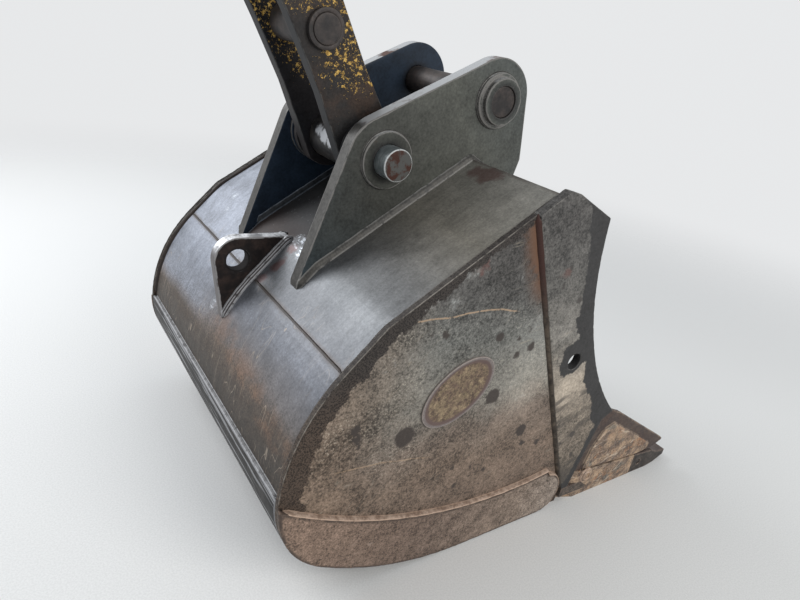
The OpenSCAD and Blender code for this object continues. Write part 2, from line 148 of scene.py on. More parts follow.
def area_light(name, at, aim, size, power, tint):
    data = bpy.data.lights.new(name, "AREA")
    data.shape, data.size = "DISK", size
    data.energy, data.color = power, tint
    obj = new_object(name, data)
    obj.location = at
    obj.rotation_euler = (Vector(aim) - Vector(at)).to_track_quat("-Z", "Y").to_euler()


def lights():
    area_light("sky_back", (-3.2, 3.4, 3.8), (0, 0, 0.7), 3.0, 240, (0.95, 0.97, 1.0))
    area_light("front", (0.6, -4.6, 3.0), (0, 0, 0.6), 3.0, 130, (1.0, 0.98, 0.95))


# Procedural materials
class Nodes:
    """A node tree, and short ways to add to it"""

    def __init__(self, tree):
        self.tree = tree

    def fill(self, node, inputs):
        """Gives a node's inputs, by name or number, a socket, a number, a colour or a vector"""
        for key, source in inputs.items():
            target = node.inputs[key]
            if hasattr(source, "is_output"):
                self.tree.links.new(source, target)
            elif isinstance(source, tuple) and target.type != "VECTOR":
                target.default_value = (*source, 1)
            else:
                target.default_value = source

    def add(self, kind, inputs=None, **settings):
        node = self.tree.nodes.new("ShaderNode" + kind)
        for name, value in settings.items():
            setattr(node, name, value)
        self.fill(node, inputs or {})
        return node

    def math(self, operation, a, b=0.0):
        return self.add("Math", {0: a, 1: b}, operation=operation).outputs[0]

    def plus(self, a, b):
        return self.math("ADD", a, b)

    def minus(self, a, b):
        return self.math("SUBTRACT", a, b)

    def both(self, a, b):
        return self.math("MULTIPLY", a, b)

    def either(self, a, b):
        return self.math("MAXIMUM", a, b)


class Surface(Nodes):
    """A node material that is put together from masks"""

    def __init__(self, name):
        self.mat = bpy.data.materials.new(name)
        self.mat.use_nodes = True
        super().__init__(self.mat.node_tree)
        self.shader = self.tree.nodes["Principled BSDF"]
        self.place = self.add("TexCoord").outputs["Object"]

    def part(self, axis):
        """One coordinate of the place on the object"""
        return self.add("SeparateXYZ", {0: self.place}).outputs[axis]

    def mark(self, name):
        """A value that the mesh carries at its points"""
        return self.add("Attribute", attribute_name=name).outputs["Fac"]

    def noise(self, scale, detail=5.0, rough=0.6, stretch=None, rise=0.0, seed=0.0):
        """Soft noise; stretch draws it out along x, y and z after x is turned to rise forward by an angle"""
        place = self.place
        if stretch:
            turn = {"Vector": place, "Rotation": (0, -math.radians(rise), 0), "Scale": stretch}
            place = self.add("Mapping", turn, vector_type="TEXTURE").outputs[0]
        inputs = {"Vector": place, "W": seed, "Scale": scale, "Detail": detail, "Roughness": rough}
        return self.add("TexNoise", inputs, noise_dimensions="4D").outputs["Fac"]

    def grains(self, seed, *sizes):
        """Noises from coarse to fine, each from its scale, detail and roughness, with seeds two apart"""
        return [self.noise(*size, seed=seed + 2 * i) for i, size in enumerate(sizes)]

    def ease(self, value, low, high):
        """Smooth rise from 0 at low to 1 at high, or a fall where low is the larger"""
        rises = float(low < high)
        inputs = {"Value": value, "From Min": min(low, high), "From Max": max(low, high),
                  "To Min": 1 - rises, "To Max": rises}
        return self.add("MapRange", inputs, interpolation_type="SMOOTHSTEP").outputs["Result"]

    def swing(self, value, amount):
        """Noise as a swing to both sides of zero"""
        return self.both(self.minus(value, 0.5), amount)

    def drift(self, axis, noise, amount):
        """One coordinate of the place, made uneven by noise"""
        return self.plus(self.part(axis), self.swing(noise, amount))

    def ragged(self, distance, noise, amount, soft=0.003):
        """Mask of what lies within a distance of zero, with an uneven edge"""
        return self.ease(self.plus(distance, self.swing(noise, amount)), soft, -soft)

    def blend(self, mask, a, b):
        """A number between two others"""
        return self.add("Mix", {0: mask, 2: a, 3: b}).outputs[0]

    def mix(self, mask, a, b):
        """A colour between two others"""
        return self.add("Mix", {0: mask, 6: a, 7: b}, data_type="RGBA").outputs[2]

    def cover(self, tone, *masks):
        """Covers the colour by a tone, as far as all the masks let it"""
        share = masks[0]
        for mask in masks[1:]:
            share = self.both(share, mask)
        self.colour = self.mix(share, self.colour, tone)

    def ramp(self, value, *stops):
        """Colour by value; each stop gives a value and the red, green and blue there"""
        low, high = stops[0][0], stops[-1][0]
        node = self.add("ValToRGB", {"Fac": self.math("DIVIDE", self.minus(value, low), high - low)})
        elements = node.color_ramp.elements
        for i, (at, *colour) in enumerate(stops):
            if i in (0, len(stops) - 1):
                stop = elements[0 if i == 0 else -1]
            else:
                stop = elements.new((at - low) / (high - low))
            stop.color = (*colour, 1)
        return node.outputs["Color"]

    def toned(self, colour, *layers):
        """Colour made lighter and darker by layers of noise, each with its strength"""
        tone = 1.0
        for value, amount in layers:
            tone = self.plus(tone, self.swing(value, amount))
        inputs = {0: colour, "Scale": self.either(tone, 0.25)}
        return self.add("VectorMath", inputs, operation="SCALE").outputs[0]

    def tone(self, *layers):
        self.colour = self.toned(self.colour, *layers)

    def scratch(self, tone, strength, width, reach, *lines):
        """Thin broken lines; each set has its scale, the angle at which it rises forward, and its seed"""
        for scale, rise, seed in lines:
            drawn = self.noise(scale, 1.0, 0.4, stretch=(9, 1, 1), rise=rise, seed=seed)
            off = self.math("ABSOLUTE", self.minus(drawn, 0.5))
            broken = self.ease(self.noise(9, 3, seed=seed + 0.5), *reach)
            self.cover(tone, self.ease(off, width * scale, width * scale * 0.3), broken, strength)

    def wear(self, tone, strength, reach, noise=None, share=None):
        """Another tone along the edges, which noise breaks up"""
        masks = [self.ease(self.mark("edge"), *reach)]
        if share:
            masks.append(self.ease(noise, *share))
        self.cover(tone, *masks, strength)

    def finish(self, rough, metal, height=None, depth=0.001, strength=0.5, specular=0.5):
        inputs = {"Base Color": self.colour, "Roughness": rough, "Metallic": metal,
                  "Specular IOR Level": specular}
        if height is not None:
            bump = self.add("Bump", {"Strength": strength, "Distance": depth, "Height": height})
            inputs["Normal"] = bump.outputs[0]
        self.fill(self.shader, inputs)
        return self.mat


# Sizes of the noises on plates and castings: scale, detail and roughness
PLATE_CLOUD, PLATE_MOTTLE, PLATE_GRAIN, GRIT = (2.6, 5, 0.6), (20, 7, 0.68), (90, 5, 0.7), (170, 5, 0.75)


def wrapper_steel():
    """Rolled plate: dull brown low down and inside, a painted sky sheen that is bluish over the heel and
    olive grey on the back, and painted shade, glints and highlights near the ears and eye
    """
    s = Surface("wrapper_steel")
    cloud, mottled, fine = s.grains(3, (1.7, 4, 0.55), (13, 6, 0.62), (110, 4, 0.65))
    rolled = s.noise(42, 4, 0.65, stretch=(6, 0.7, 6), seed=9)
    across = s.part(1)
    level = s.drift(2, cloud, 0.16)
    # The colour by height is partly the plate's own tone and partly a painted sheen: the light bluish band
    # over the heel is painted sky reflection, and the dark olive grey above it is painted reflection of
    # something dark
    s.colour = s.ramp(level, (0.2, 0.034, 0.027, 0.022), (0.44, 0.044, 0.035, 0.028),
                      (0.5, 0.064, 0.049, 0.038), (0.54, 0.108, 0.08, 0.062), (0.58, 0.14, 0.128, 0.126),
                      (0.67, 0.158, 0.166, 0.188), (0.74, 0.094, 0.098, 0.107), (0.83, 0.094, 0.099, 0.105),
                      (0.91, 0.112, 0.112, 0.111), (1.03, 0.205, 0.19, 0.16), (1.2, 0.215, 0.21, 0.19))
    # Painted sky reflection: bluish over the upper back on the far side
    far = s.ease(across, -0.05, 0.3)
    s.cover((0.235, 0.255, 0.3), far, s.ease(level, 0.5, 0.57), 0.8)
    drop = s.minus(level, s.both(across, 0.15))
    rusty = s.both(s.ease(drop, 0.53, 0.58), s.ease(drop, 0.66, 0.6))
    s.cover((0.175, 0.098, 0.06), rusty, s.ease(mottled, 0.38, 0.56), s.ease(across, 0.12, -0.02), 0.45)
    mouth = s.ease(s.drift(0, cloud, 0.08), SEAM_X + 0.67, SEAM_X + 0.79)
    s.cover((0.4, 0.42, 0.44), mouth, 0.8)
    s.tone((mottled, 1.1), (fine, 0.9), (rolled, 0.7))
    low = s.ease(level, 0.64, 0.52)
    gritty = s.toned(s.colour, (s.noise(26, 5, 0.7, seed=19), 1.2), (s.noise(*GRIT, seed=20), 4.0))
    s.cover(gritty, s.blend(low, 0.35, 1.0))
    s.cover((0.3, 0.25, 0.2), s.ease(rolled, 0.6, 0.68), s.ease(level, 0.8, 0.6), 0.2)
    lower = s.both(s.ease(level, 0.8, 0.66), 0.5)
    s.scratch((0.44, 0.36, 0.28), lower, 0.0003, (0.5, 0.62), (22, 80, 11), (26, 62, 17))
    stain = s.ragged(s.mark("stain"), mottled, 0.16, 0.012)
    s.cover((0.085, 0.03, 0.026), stain, 0.62)
    # Painted shade: the wrapper between the ears is made nearly black
    between = s.mark("between")
    painted_shade = s.mix(s.ease(level, 0.84, 0.92), (0.022, 0.013, 0.011), (0.015, 0.015, 0.016))
    s.cover(s.toned(painted_shade, (mottled, 2.0), (fine, 2.0)), between)
    # Painted glints: light specks between the ears, as wet steel that catches the light
    painted_wet_glint = s.ease(s.noise(110, 5, 0.7, seed=13), 0.63, 0.68)
    s.cover((0.3, 0.32, 0.34), between, painted_wet_glint, 0.5)
    # Painted highlights: near-white patches near the eye and on the far back, broken up into ticks
    ticks = s.ease(s.noise(130, 4, 0.7, stretch=(1, 2.5, 1), seed=15), 0.5, 0.58)
    painted_shine = s.ease(s.mark("painted_shine"), 0.012, -0.012)
    s.cover((0.68, 0.72, 0.77), painted_shine, s.blend(ticks, 0.15, 1.0))
    s.wear((0.075, 0.06, 0.052), 0.7, (0.016, 0.002), mottled, (0.38, 0.55))
    dull = s.either(between, s.both(low, 0.8))
    rough = s.plus(s.blend(s.ease(mottled, 0.3, 0.7), 0.36, 0.48), s.both(dull, 0.22))
    height = s.plus(mottled, s.both(fine, 0.2))
    return s.finish(rough, s.blend(dull, 0.4, 0.0), height, 0.0007, 0.35, 0.4)


def heel_steel():
    """The worn plate round the heel: dark steel with light streaks across it"""
    s = Surface("heel_steel")
    mottled = s.noise(16, 6, 0.62, seed=35)
    fine = s.noise(120, 4, 0.7, seed=36)
    streaks = s.noise(75, 4, 0.6, stretch=(1, 30, 1), seed=37)
    s.colour = s.mix(s.ease(mottled, 0.35, 0.65), (0.02, 0.019, 0.019), (0.046, 0.043, 0.041))
    s.cover((0.095, 0.066, 0.048), s.ease(s.drift(2, mottled, 0.2), 0.26, 0.12), 0.7)
    s.tone((mottled, 1.0), (fine, 1.2))
    bright = s.either(s.ease(streaks, 0.53, 0.6), s.ease(s.mark("edge"), 0.006, 0.002))
    s.cover((0.34, 0.34, 0.35), bright, 0.75)
    height = s.plus(mottled, s.both(streaks, 0.8))
    return s.finish(s.blend(mottled, 0.5, 0.66), 0.1, height, 0.0014, 0.5, 0.2)


def side_steel():
    """Side plates: brown low down, grey higher up, with a rough band of dried soil along the rim"""
    s = Surface("side_steel")
    cloud, mottled, grain, fine = s.grains(2, PLATE_CLOUD, PLATE_MOTTLE, PLATE_GRAIN, GRIT)
    level = s.drift(2, cloud, 0.35)
    s.colour = s.ramp(level, (0.1, 0.14, 0.102, 0.079), (0.38, 0.17, 0.126, 0.096),
                      (0.5, 0.16, 0.127, 0.103), (0.6, 0.158, 0.148, 0.129), (0.76, 0.126, 0.126, 0.116),
                      (0.9, 0.092, 0.089, 0.084), (1.1, 0.06, 0.055, 0.052))
    aft = s.ease(s.drift(0, cloud, 0.3), SEAM_X + 0.3, SEAM_X - 0.1)
    s.cover((0.19, 0.136, 0.098), aft, 0.75)
    grey = s.ease(mottled, 0.58, 0.7)
    s.cover((0.15, 0.152, 0.146), grey, s.ease(level, 0.45, 0.7))
    patches = s.plus(s.mark("tone"), 0.5)
    broad = s.noise(6, 5, 0.65, seed=10)
    streaked = s.noise(12, 5, 0.65, stretch=(6, 1, 1), rise=33, seed=14)
    s.tone((patches, 1.0), (broad, 1.3), (streaked, 1.2), (mottled, 2.2), (grain, 2.4), (fine, 4.0))
    s.cover((0.135, 0.07, 0.042), s.ease(s.mark("seam"), 0.075, 0.008), s.ease(level, 0.8, 0.98),
            s.ease(mottled, 0.34, 0.52))
    sandy = s.both(s.ease(level, 0.35, 0.55), s.ease(level, 0.9, 0.75))
    s.cover((0.46, 0.42, 0.34), s.ease(fine, 0.54, 0.62), s.ease(s.noise(5, 4, 0.6, seed=12), 0.42, 0.58),
            sandy, 0.5)
    pocks = s.ease(s.noise(62, 2, 0.5, seed=16), 0.68, 0.73)
    s.cover((0.05, 0.043, 0.038), pocks, 0.6)
    pale = s.mix(s.ease(cloud, 0.4, 0.6), (0.36, 0.29, 0.21), (0.33, 0.3, 0.25))
    s.scratch(pale, 0.4, 0.00035, (0.54, 0.66), (26, 28, 21), (34, 14, 23), (22, 55, 25))
    rust = s.ease(s.noise(7, 5, 0.6, seed=29), 0.62, 0.7)
    s.cover((0.15, 0.052, 0.04), rust, s.ease(level, 0.8, 0.95), 0.6)
    uneven = s.plus(s.both(mottled, 0.6), s.both(grain, 0.4))
    spots = s.ragged(s.mark("spots"), uneven, 0.045, 0.004)
    s.cover((0.046, 0.037, 0.033), spots, 0.94)
    for name, strength in (("scrape_high", 0.7), ("scrape_mid", 0.45)):
        off = s.math("ABSOLUTE", s.plus(s.mark(name), s.swing(mottled, 0.012)))
        broken = s.both(s.mark(name + "_reach"), s.ease(grain, 0.36, 0.5))
        s.cover((0.44, 0.31, 0.2), s.ease(off, 0.0032, 0.0012), broken, strength)
    uneven = s.plus(s.both(mottled, 0.8), s.both(grain, 0.3))
    band = s.ragged(s.mark("band"), uneven, 0.1)
    pits = s.ease(s.noise(230, 3, 0.6, seed=31), 0.4, 0.6)
    low_band = s.mix(pits, (0.024, 0.017, 0.013), (0.088, 0.062, 0.046))
    high_band = s.mix(pits, (0.017, 0.014, 0.013), (0.05, 0.042, 0.037))
    s.cover(s.mix(s.ease(level, 0.5, 0.75), low_band, high_band), band)
    far_rim = s.both(s.mark("rim"), s.ease(s.part(1), -0.1, 0.1))
    s.cover((0.016, 0.014, 0.013), far_rim, 0.85)
    s.wear((0.36, 0.33, 0.29), 0.7, (0.0035, 0.001), mottled, (0.4, 0.55))
    height = s.plus(s.both(mottled, 0.7), s.both(grain, 0.5))
    height = s.plus(height, s.both(band, s.both(pits, 0.8)))
    rough = s.blend(far_rim, s.blend(s.ease(mottled, 0.3, 0.7), 0.5, 0.66), 0.95)
    return s.finish(rough, 0.1, height, 0.0014, 0.5, 0.25)


def bar_steel():
    """Side bars: pale in the middle, dark at both ends, with a dark band along the cutting edge"""
    s = Surface("bar_steel")
    cloud, mottled, grain, fine = s.grains(42, PLATE_CLOUD, PLATE_MOTTLE, PLATE_GRAIN, GRIT)
    level = s.drift(2, cloud, 0.25)
    s.colour = s.ramp(level, (0.08, 0.07, 0.064, 0.055), (0.24, 0.205, 0.168, 0.132),
                      (0.56, 0.21, 0.18, 0.146), (0.74, 0.16, 0.15, 0.134), (0.92, 0.105, 0.1, 0.092),
                      (1.1, 0.08, 0.076, 0.072))
    patches = s.plus(s.mark("tone"), 0.5)
    broad = s.noise(6, 5, 0.65, seed=40)
    s.tone((patches, 1.0), (broad, 1.3), (mottled, 2.2), (grain, 2.8), (fine, 3.6))
    lower = s.both(s.ease(level, 1.0, 0.7), 0.4)
    s.scratch((0.4, 0.33, 0.25), lower, 0.00035, (0.54, 0.66), (26, 34, 51), (22, 66, 55))
    smear = s.ease(s.noise(14, 5, 0.6, stretch=(4, 1, 1), rise=24, seed=57), 0.5, 0.58)
    s.cover((0.06, 0.052, 0.046), smear, s.ease(level, 0.6, 0.46), 0.7)
    rust = s.ease(s.noise(7, 5, 0.6, seed=59), 0.6, 0.68)
    s.cover((0.125, 0.05, 0.04), rust, s.ease(level, 0.85, 0.98), 0.5)
    spots = s.ragged(s.mark("spots"), mottled, 0.03, 0.004)
    s.cover((0.048, 0.042, 0.038), spots, 0.8)
    band = s.ragged(s.mark("band"), mottled, 0.06)
    s.cover(s.toned((0.032, 0.031, 0.031), (grain, 1.6), (fine, 1.6)), band)
    s.wear((0.3, 0.28, 0.25), 0.5, (0.003, 0.001), mottled, (0.4, 0.55))
    height = s.plus(s.both(mottled, 0.7), s.both(grain, 0.5))
    rough = s.blend(s.ease(mottled, 0.3, 0.7), 0.5, 0.66)
    return s.finish(rough, 0.15, height, 0.0014, 0.5, 0.35)


def wear_steel():
    s = Surface("wear_steel")
    mottled, grain, fine = s.grains(64, (26, 7, 0.68), (110, 5, 0.7), GRIT)
    s.colour = s.ramp(s.drift(0, mottled, 0.5), (SEAM_X - 0.1, 0.215, 0.148, 0.11),
                      (SEAM_X + 0.35, 0.15, 0.108, 0.085), (SEAM_X + 0.75, 0.215, 0.165, 0.13),
                      (SEAM_X + 1.0, 0.27, 0.225, 0.19))
    s.tone((mottled, 2.4), (grain, 2.6), (fine, 4.6))
    s.scratch((0.4, 0.32, 0.26), 0.4, 0.00035, (0.54, 0.66), (28, 6, 71), (24, -30, 73))
    s.wear((0.07, 0.05, 0.04), 1.0, (0.012, 0.004), mottled, (0.35, 0.55))
    height = s.plus(mottled, s.both(grain, 0.5))
    return s.finish(s.blend(mottled, 0.55, 0.72), 0.12, height, 0.0015, 0.6, 0.3)


def oval_steel():
    """The blank oval: a thin grey rim round a rusty, golden-brown field"""
    s = Surface("oval_steel")
    mottled, grain = s.grains(84, (50, 6, 0.68), (160, 4, 0.7))
    golden = s.noise(60, 6, 0.75, seed=85)
    s.colour = s.mix(s.ease(golden, 0.38, 0.66), (0.1, 0.066, 0.05), (0.27, 0.205, 0.125))
    s.tone((mottled, 1.6), (grain, 3.0))
    out = s.plus(s.mark("rim_part"), s.swing(mottled, 0.04))
    s.cover((0.115, 0.078, 0.07), s.ease(out, 0.8, 0.87))
    s.cover(s.toned((0.175, 0.15, 0.142), (grain, 2.0)), s.ease(out, 0.9, 0.95))
    s.wear((0.34, 0.29, 0.26), 0.7, (0.004, 0.001))
    rough = s.blend(mottled, 0.5, 0.68)
    return s.finish(rough, 0.15, s.plus(mottled, grain), 0.0012, 0.6, 0.35)


def cast_rust():
    """Rough castings with rust, grey patches and light scratches, and dark where they are sunk"""
    s = Surface("cast_rust")
    mottled, grain, fine = s.grains(94, (24, 7, 0.68), (110, 5, 0.7), GRIT)
    s.colour = s.mix(s.ease(mottled, 0.38, 0.62), (0.15, 0.11, 0.088), (0.33, 0.232, 0.155))
    s.cover((0.33, 0.16, 0.075), s.ease(s.noise(13, 5, 0.65, seed=99), 0.53, 0.62), 0.6)
    s.cover((0.125, 0.128, 0.115), s.ease(s.noise(11, 4, 0.6, seed=95), 0.56, 0.63), 0.7)
    s.tone((mottled, 1.5), (grain, 2.8), (fine, 3.0))
    s.scratch((0.58, 0.48, 0.38), 0.6, 0.0005, (0.44, 0.54), (28, -8, 101), (24, 40, 103), (20, 24, 105))
    sunk = s.ragged(s.mark("sunk"), mottled, 0.5, 0.15)
    s.cover(s.toned((0.052, 0.038, 0.035), (grain, 1.8), (fine, 1.8)), sunk, 0.9)
    s.wear((0.34, 0.26, 0.19), 0.6, (0.006, 0.002), mottled, (0.42, 0.55))
    height = s.plus(mottled, s.both(grain, 0.5))
    return s.finish(s.blend(mottled, 0.55, 0.72), 0.1, height, 0.0018, 0.6, 0.3)


def dark_cast():
    s = Surface("dark_cast")
    mottled, grain = s.grains(114, (28, 7, 0.66), (120, 5, 0.7))
    s.colour = s.mix(s.ease(mottled, 0.35, 0.65), (0.03, 0.026, 0.024), (0.06, 0.05, 0.043))
    # Painted sky light: faces that look up are coloured lighter
    s.cover((0.1, 0.072, 0.064), s.ease(s.mark("up"), 0.3, 0.8), 0.6)
    s.tone((mottled, 1.2), (grain, 2.4))
    s.wear((0.2, 0.155, 0.125), 0.7, (0.008, 0.001), grain, (0.38, 0.6))
    return s.finish(0.6, 0.15, s.plus(mottled, s.both(grain, 0.4)), 0.0016, 0.6, 0.3)


def ear_paint():
    """Thin grey-green paint, with worn edges, painted shade in bluish near-black on the inner sides, a
    painted sky highlight on upward edge faces, and grooves round the pins darkened by grease and painted
    shade
    """
    s = Surface("ear_paint")
    cloud, mottled, fine = s.grains(122, (3.2, 4, 0.5), (18, 6, 0.62), (120, 4, 0.7))
    dim = s.plus(s.both(s.part(0), 0.6), s.plus(s.both(s.part(2), 0.8), s.swing(cloud, 0.5)))
    s.colour = s.ramp(dim, (0.2, 0.028, 0.037, 0.042), (0.55, 0.044, 0.045, 0.04),
                      (0.85, 0.08, 0.082, 0.071), (1.15, 0.062, 0.071, 0.072))
    s.tone((mottled, 1.3), (fine, 1.8))
    s.cover((0.07, 0.044, 0.032), s.ease(s.noise(22, 5, 0.6, seed=128), 0.66, 0.76), 0.5)
    # Painted shade: the faces that look towards the middle are bluish near-black
    inner = s.mark("inner")
    s.cover(s.toned((0.015, 0.025, 0.041), (mottled, 1.8), (fine, 1.6)), inner)
    rim = s.mark("rim")
    # Edge faces: bare steel with rust patches, and on the upward ones a painted sky highlight in light grey
    top = s.mix(s.ease(s.noise(9, 4, 0.6, seed=130), 0.42, 0.52), (0.085, 0.04, 0.03), (0.42, 0.43, 0.44))
    side = s.toned((0.076, 0.073, 0.069), (mottled, 1.6), (fine, 1.6))
    bare_and_lit_rim = s.mix(s.ease(s.mark("up"), 0.7, 0.84), side, top)
    s.cover(bare_and_lit_rim, rim, s.mark("plate"))
    edge = s.ragged(s.minus(s.mark("edge"), 0.0035), mottled, 0.012, 0.001)
    s.cover((0.2, 0.19, 0.18), edge, s.minus(1.0, inner), 0.75)
    # Darker round the pins: grease, and the painted shade of the protruding pins
    s.cover((0.008, 0.008, 0.009), s.mark("groove"), 0.9)
    return s.finish(s.blend(mottled, 0.42, 0.55), s.both(rim, 0.35), mottled, 0.0006, 0.3, 0.22)


def eye_paint():
    """Nearly black paint, with a worn rim that carries a painted sky highlight on its upward faces, and
    painted shade in the bore
    """
    s = Surface("eye_paint")
    mottled, fine = s.grains(134, (24, 6, 0.62), (120, 4, 0.7))
    s.colour = s.mix(s.ease(mottled, 0.4, 0.65), (0.01, 0.008, 0.008), (0.03, 0.02, 0.017))
    s.tone((fine, 1.4))
    bore = s.mark("bore")
    rim = s.both(s.mark("rim"), s.minus(1.0, bore))
    lit = s.mix(s.ease(mottled, 0.4, 0.58), (0.26, 0.26, 0.27), (0.78, 0.79, 0.81))
    # Painted sky highlight: rim faces that look up are near-white, the others a worn dark grey
    lit = s.mix(s.ease(s.mark("up"), 0.1, 0.75), (0.12, 0.11, 0.11), s.toned(lit, (fine, 1.6)))
    s.cover(lit, rim)
    edge = s.ragged(s.minus(s.mark("edge"), 0.004), mottled, 0.016, 0.001)
    s.cover((0.3, 0.29, 0.29), edge, 0.8)
    # Painted shade inside the bore, which is made nearly black
    s.cover((0.012, 0.01, 0.01), bore)
    rough = s.blend(bore, s.blend(mottled, 0.4, 0.52), 0.9)
    return s.finish(rough, s.both(rim, 0.5), mottled, 0.0008, 0.35, 0.2)


def pin_steel():
    """Bright turned steel, with rust on its end faces"""
    s = Surface("pin_steel")
    mottled = s.noise(26, 6, 0.62, seed=144)
    turned = s.noise(80, 3, 0.6, stretch=(3, 0.4, 3), seed=146)
    s.colour = s.mix(s.ease(mottled, 0.35, 0.65), (0.15, 0.172, 0.178), (0.27, 0.295, 0.3))
    s.tone((turned, 1.2))
    end = s.mark("end")
    rusty = s.ease(s.noise(20, 5, 0.6, seed=148), 0.46, 0.54)
    s.cover(s.mix(rusty, (0.082, 0.082, 0.078), (0.05, 0.02, 0.014)), end)
    s.wear((0.6, 0.62, 0.62), 0.8, (0.004, 0.0015))
    return s.finish(s.blend(turned, 0.3, 0.48), s.blend(end, 0.6, 0.15), turned, 0.0004, 0.3, 0.3)


def dull_pin():
    s = Surface("dull_pin")
    mottled, fine = s.grains(154, (26, 6, 0.62), (120, 4, 0.7))
    s.colour = s.mix(s.ease(mottled, 0.35, 0.65), (0.026, 0.024, 0.024), (0.052, 0.042, 0.038))
    s.tone((mottled, 1.0), (fine, 1.2))
    s.wear((0.13, 0.11, 0.1), 0.35, (0.004, 0.001))
    return s.finish(0.52, 0.15, mottled, 0.0008, 0.4, 0.25)


def link_paint():
    """Dark paint in flakes of which an old yellow coat shows"""
    s = Surface("link_paint")
    cloud, mottled, fine = s.grains(162, (5, 5, 0.6), (24, 6, 0.62), (140, 4, 0.7))
    s.colour = s.mix(s.ease(cloud, 0.4, 0.6), (0.024, 0.023, 0.023), (0.036, 0.029, 0.026))
    s.cover((0.07, 0.04, 0.026), s.mark("rusty"), s.ease(cloud, 0.38, 0.58), 0.55)
    # Painted shade: the faces that look towards the middle are made darker
    s.cover((0.012, 0.013, 0.016), s.mark("inner"), 0.85)
    s.tone((mottled, 1.5), (fine, 1.8))
    wear = s.mark("flakes")
    chips = s.plus(s.noise(62, 6, 0.75, seed=168), s.both(wear, 0.12))
    specks = s.plus(s.noise(150, 4, 0.75, seed=170), s.both(wear, 0.1))
    flaked = s.either(s.ease(chips, 0.67, 0.685), s.ease(specks, 0.69, 0.71))
    yellow = s.mix(s.ease(fine, 0.35, 0.65), (0.26, 0.14, 0.028), (0.72, 0.48, 0.14))
    s.cover(yellow, flaked)
    s.cover((0.026, 0.027, 0.029), s.mark("rim"), 0.8)
    edge = s.ragged(s.minus(s.mark("edge"), 0.002), mottled, 0.01, 0.001)
    s.cover((0.13, 0.13, 0.125), edge, 0.5)
    height = s.plus(s.both(flaked, 0.8), mottled)
    return s.finish(s.blend(mottled, 0.46, 0.62), 0.05, height, 0.001, 0.4, 0.14)


def hub_steel():
    """Greasy dark steel, with a painted highlight of wetness on top"""
    s = Surface("hub_steel")
    mottled = s.noise(22, 6, 0.62, seed=174)
    s.colour = s.mix(s.ease(mottled, 0.35, 0.65), (0.01, 0.01, 0.011), (0.036, 0.032, 0.029))
    # Painted highlight: a near-white patch on top of the hub, as wet steel that catches the light
    painted_wet_glint = s.ragged(s.mark("painted_wet_glint"), s.noise(40, 5, 0.7, seed=176), 0.05, 0.006)
    s.cover((0.5, 0.51, 0.53), painted_wet_glint, 0.8)
    return s.finish(s.blend(mottled, 0.3, 0.5), 0.0, mottled, 0.001, 0.4, 0.25)


def weld_metal(name, dark, light, toe, metal=0.3, high=None):
    """Weld beads; toe is the colour of their two long edges, and high the colour towards the top"""
    s = Surface(name)
    mottled, fine = s.grains(184, (50, 5, 0.6), (180, 4, 0.7))
    s.colour = s.toned(s.mix(s.ease(mottled, 0.35, 0.65), dark, light), (fine, 1.5))
    s.cover(toe, s.mark("toe"), s.ease(mottled, 0.3, 0.5))
    if high:
        s.cover(high, s.ease(s.drift(2, mottled, 0.2), 0.74, 0.98))
    return s.finish(s.blend(mottled, 0.36, 0.55), metal, fine, 0.0008, 0.4, 0.3)


# Mesh helpers
def edge_points(edges, spacing=0.004):
    points = []
    for edge in edges:
        a, b = (v.co for v in edge.verts)
        count = max(1, round((b - a).length / spacing))
        points += [a.lerp(b, i / count) for i in range(count + 1)]
    return points


def cut_grid(bm, step):
    """Cuts all faces at planes a step apart, along the three axes"""
    for axis in range(3):
        values = [v.co[axis] for v in bm.verts]
        low, high = min(values), max(values)
        count = int((high - low) / step)
        if count < 3:
            continue
        normal = Vector((0, 0, 0))
        normal[axis] = 1
        for k in range(1, count + 1):
            at = Vector((0, 0, 0))
            at[axis] = low + (k - 0.5) * (high - low) / count
            bmesh.ops.bisect_plane(bm, geom=bm.verts[:] + bm.edges[:] + bm.faces[:], dist=1e-6,
                                   plane_co=at, plane_no=normal)


def store(mesh, name, values):
    layer = mesh.attributes.new(name, "FLOAT", "POINT")
    layer.data.foreach_set("value", np.asarray(values, np.float32))


def points_of(mesh):
    co = np.zeros(len(mesh.vertices) * 3, np.float32)
    mesh.vertices.foreach_get("co", co)
    return co.reshape(-1, 3).astype(float)


def side_view(points):
    """Places in the side view, from the cross seam forward and from the floor up"""
    return points[:, [0, 2]] - np.array([SEAM_X, 0.0])


def to_path(points, path):
    """Distance of side-view points from an open path, the side they lie on, and how far along they are"""
    best = np.full(len(points), 1e9)
    side = np.ones(len(points))
    along = np.zeros(len(points))
    start = 0.0
    for p, q in zip(np.array(path[:-1], float), np.array(path[1:], float)):
        d = q - p
        length = np.linalg.norm(d)
        t = (points - p) @ d / length ** 2
        gap = np.linalg.norm(points - p - np.clip(t, 0, 1)[:, None] * d, axis=1)
        nearer = gap < best
        best = np.where(nearer, gap, best)
        side = np.where(nearer, np.sign(d[0] * (points - p)[:, 1] - d[1] * (points - p)[:, 0]), side)
        along = np.where(nearer, start + np.clip(t, 0, 1) * length, along)
        start += length
    return best, side, along


def inside(points, outline):
    result = np.zeros(len(points), bool)
    for p, q in zip(outline, outline[1:] + outline[:1]):
        crosses = (p[1] > points[:, 1]) != (q[1] > points[:, 1])
        rise = q[1] - p[1]
        cut = p[0] + (q[0] - p[0]) * (points[:, 1] - p[1]) / (rise if rise else 1e-9)
        result ^= crosses & (points[:, 0] < cut)
    return result


def to_spots(points, spots):
    """Distance to the edge of the nearest spot, below zero on a spot"""
    return np.min([np.linalg.norm(points - np.array(at), axis=1) - r for *at, r in spots], axis=0)


def soft_spots(points, spots):
    """Lighter and darker places that fade out; each spot has its place, radius and amount"""
    return np.sum([amount * np.exp(-(np.linalg.norm(points - np.array(at), axis=1) / r) ** 2)
                   for *at, r, amount in spots], axis=0)


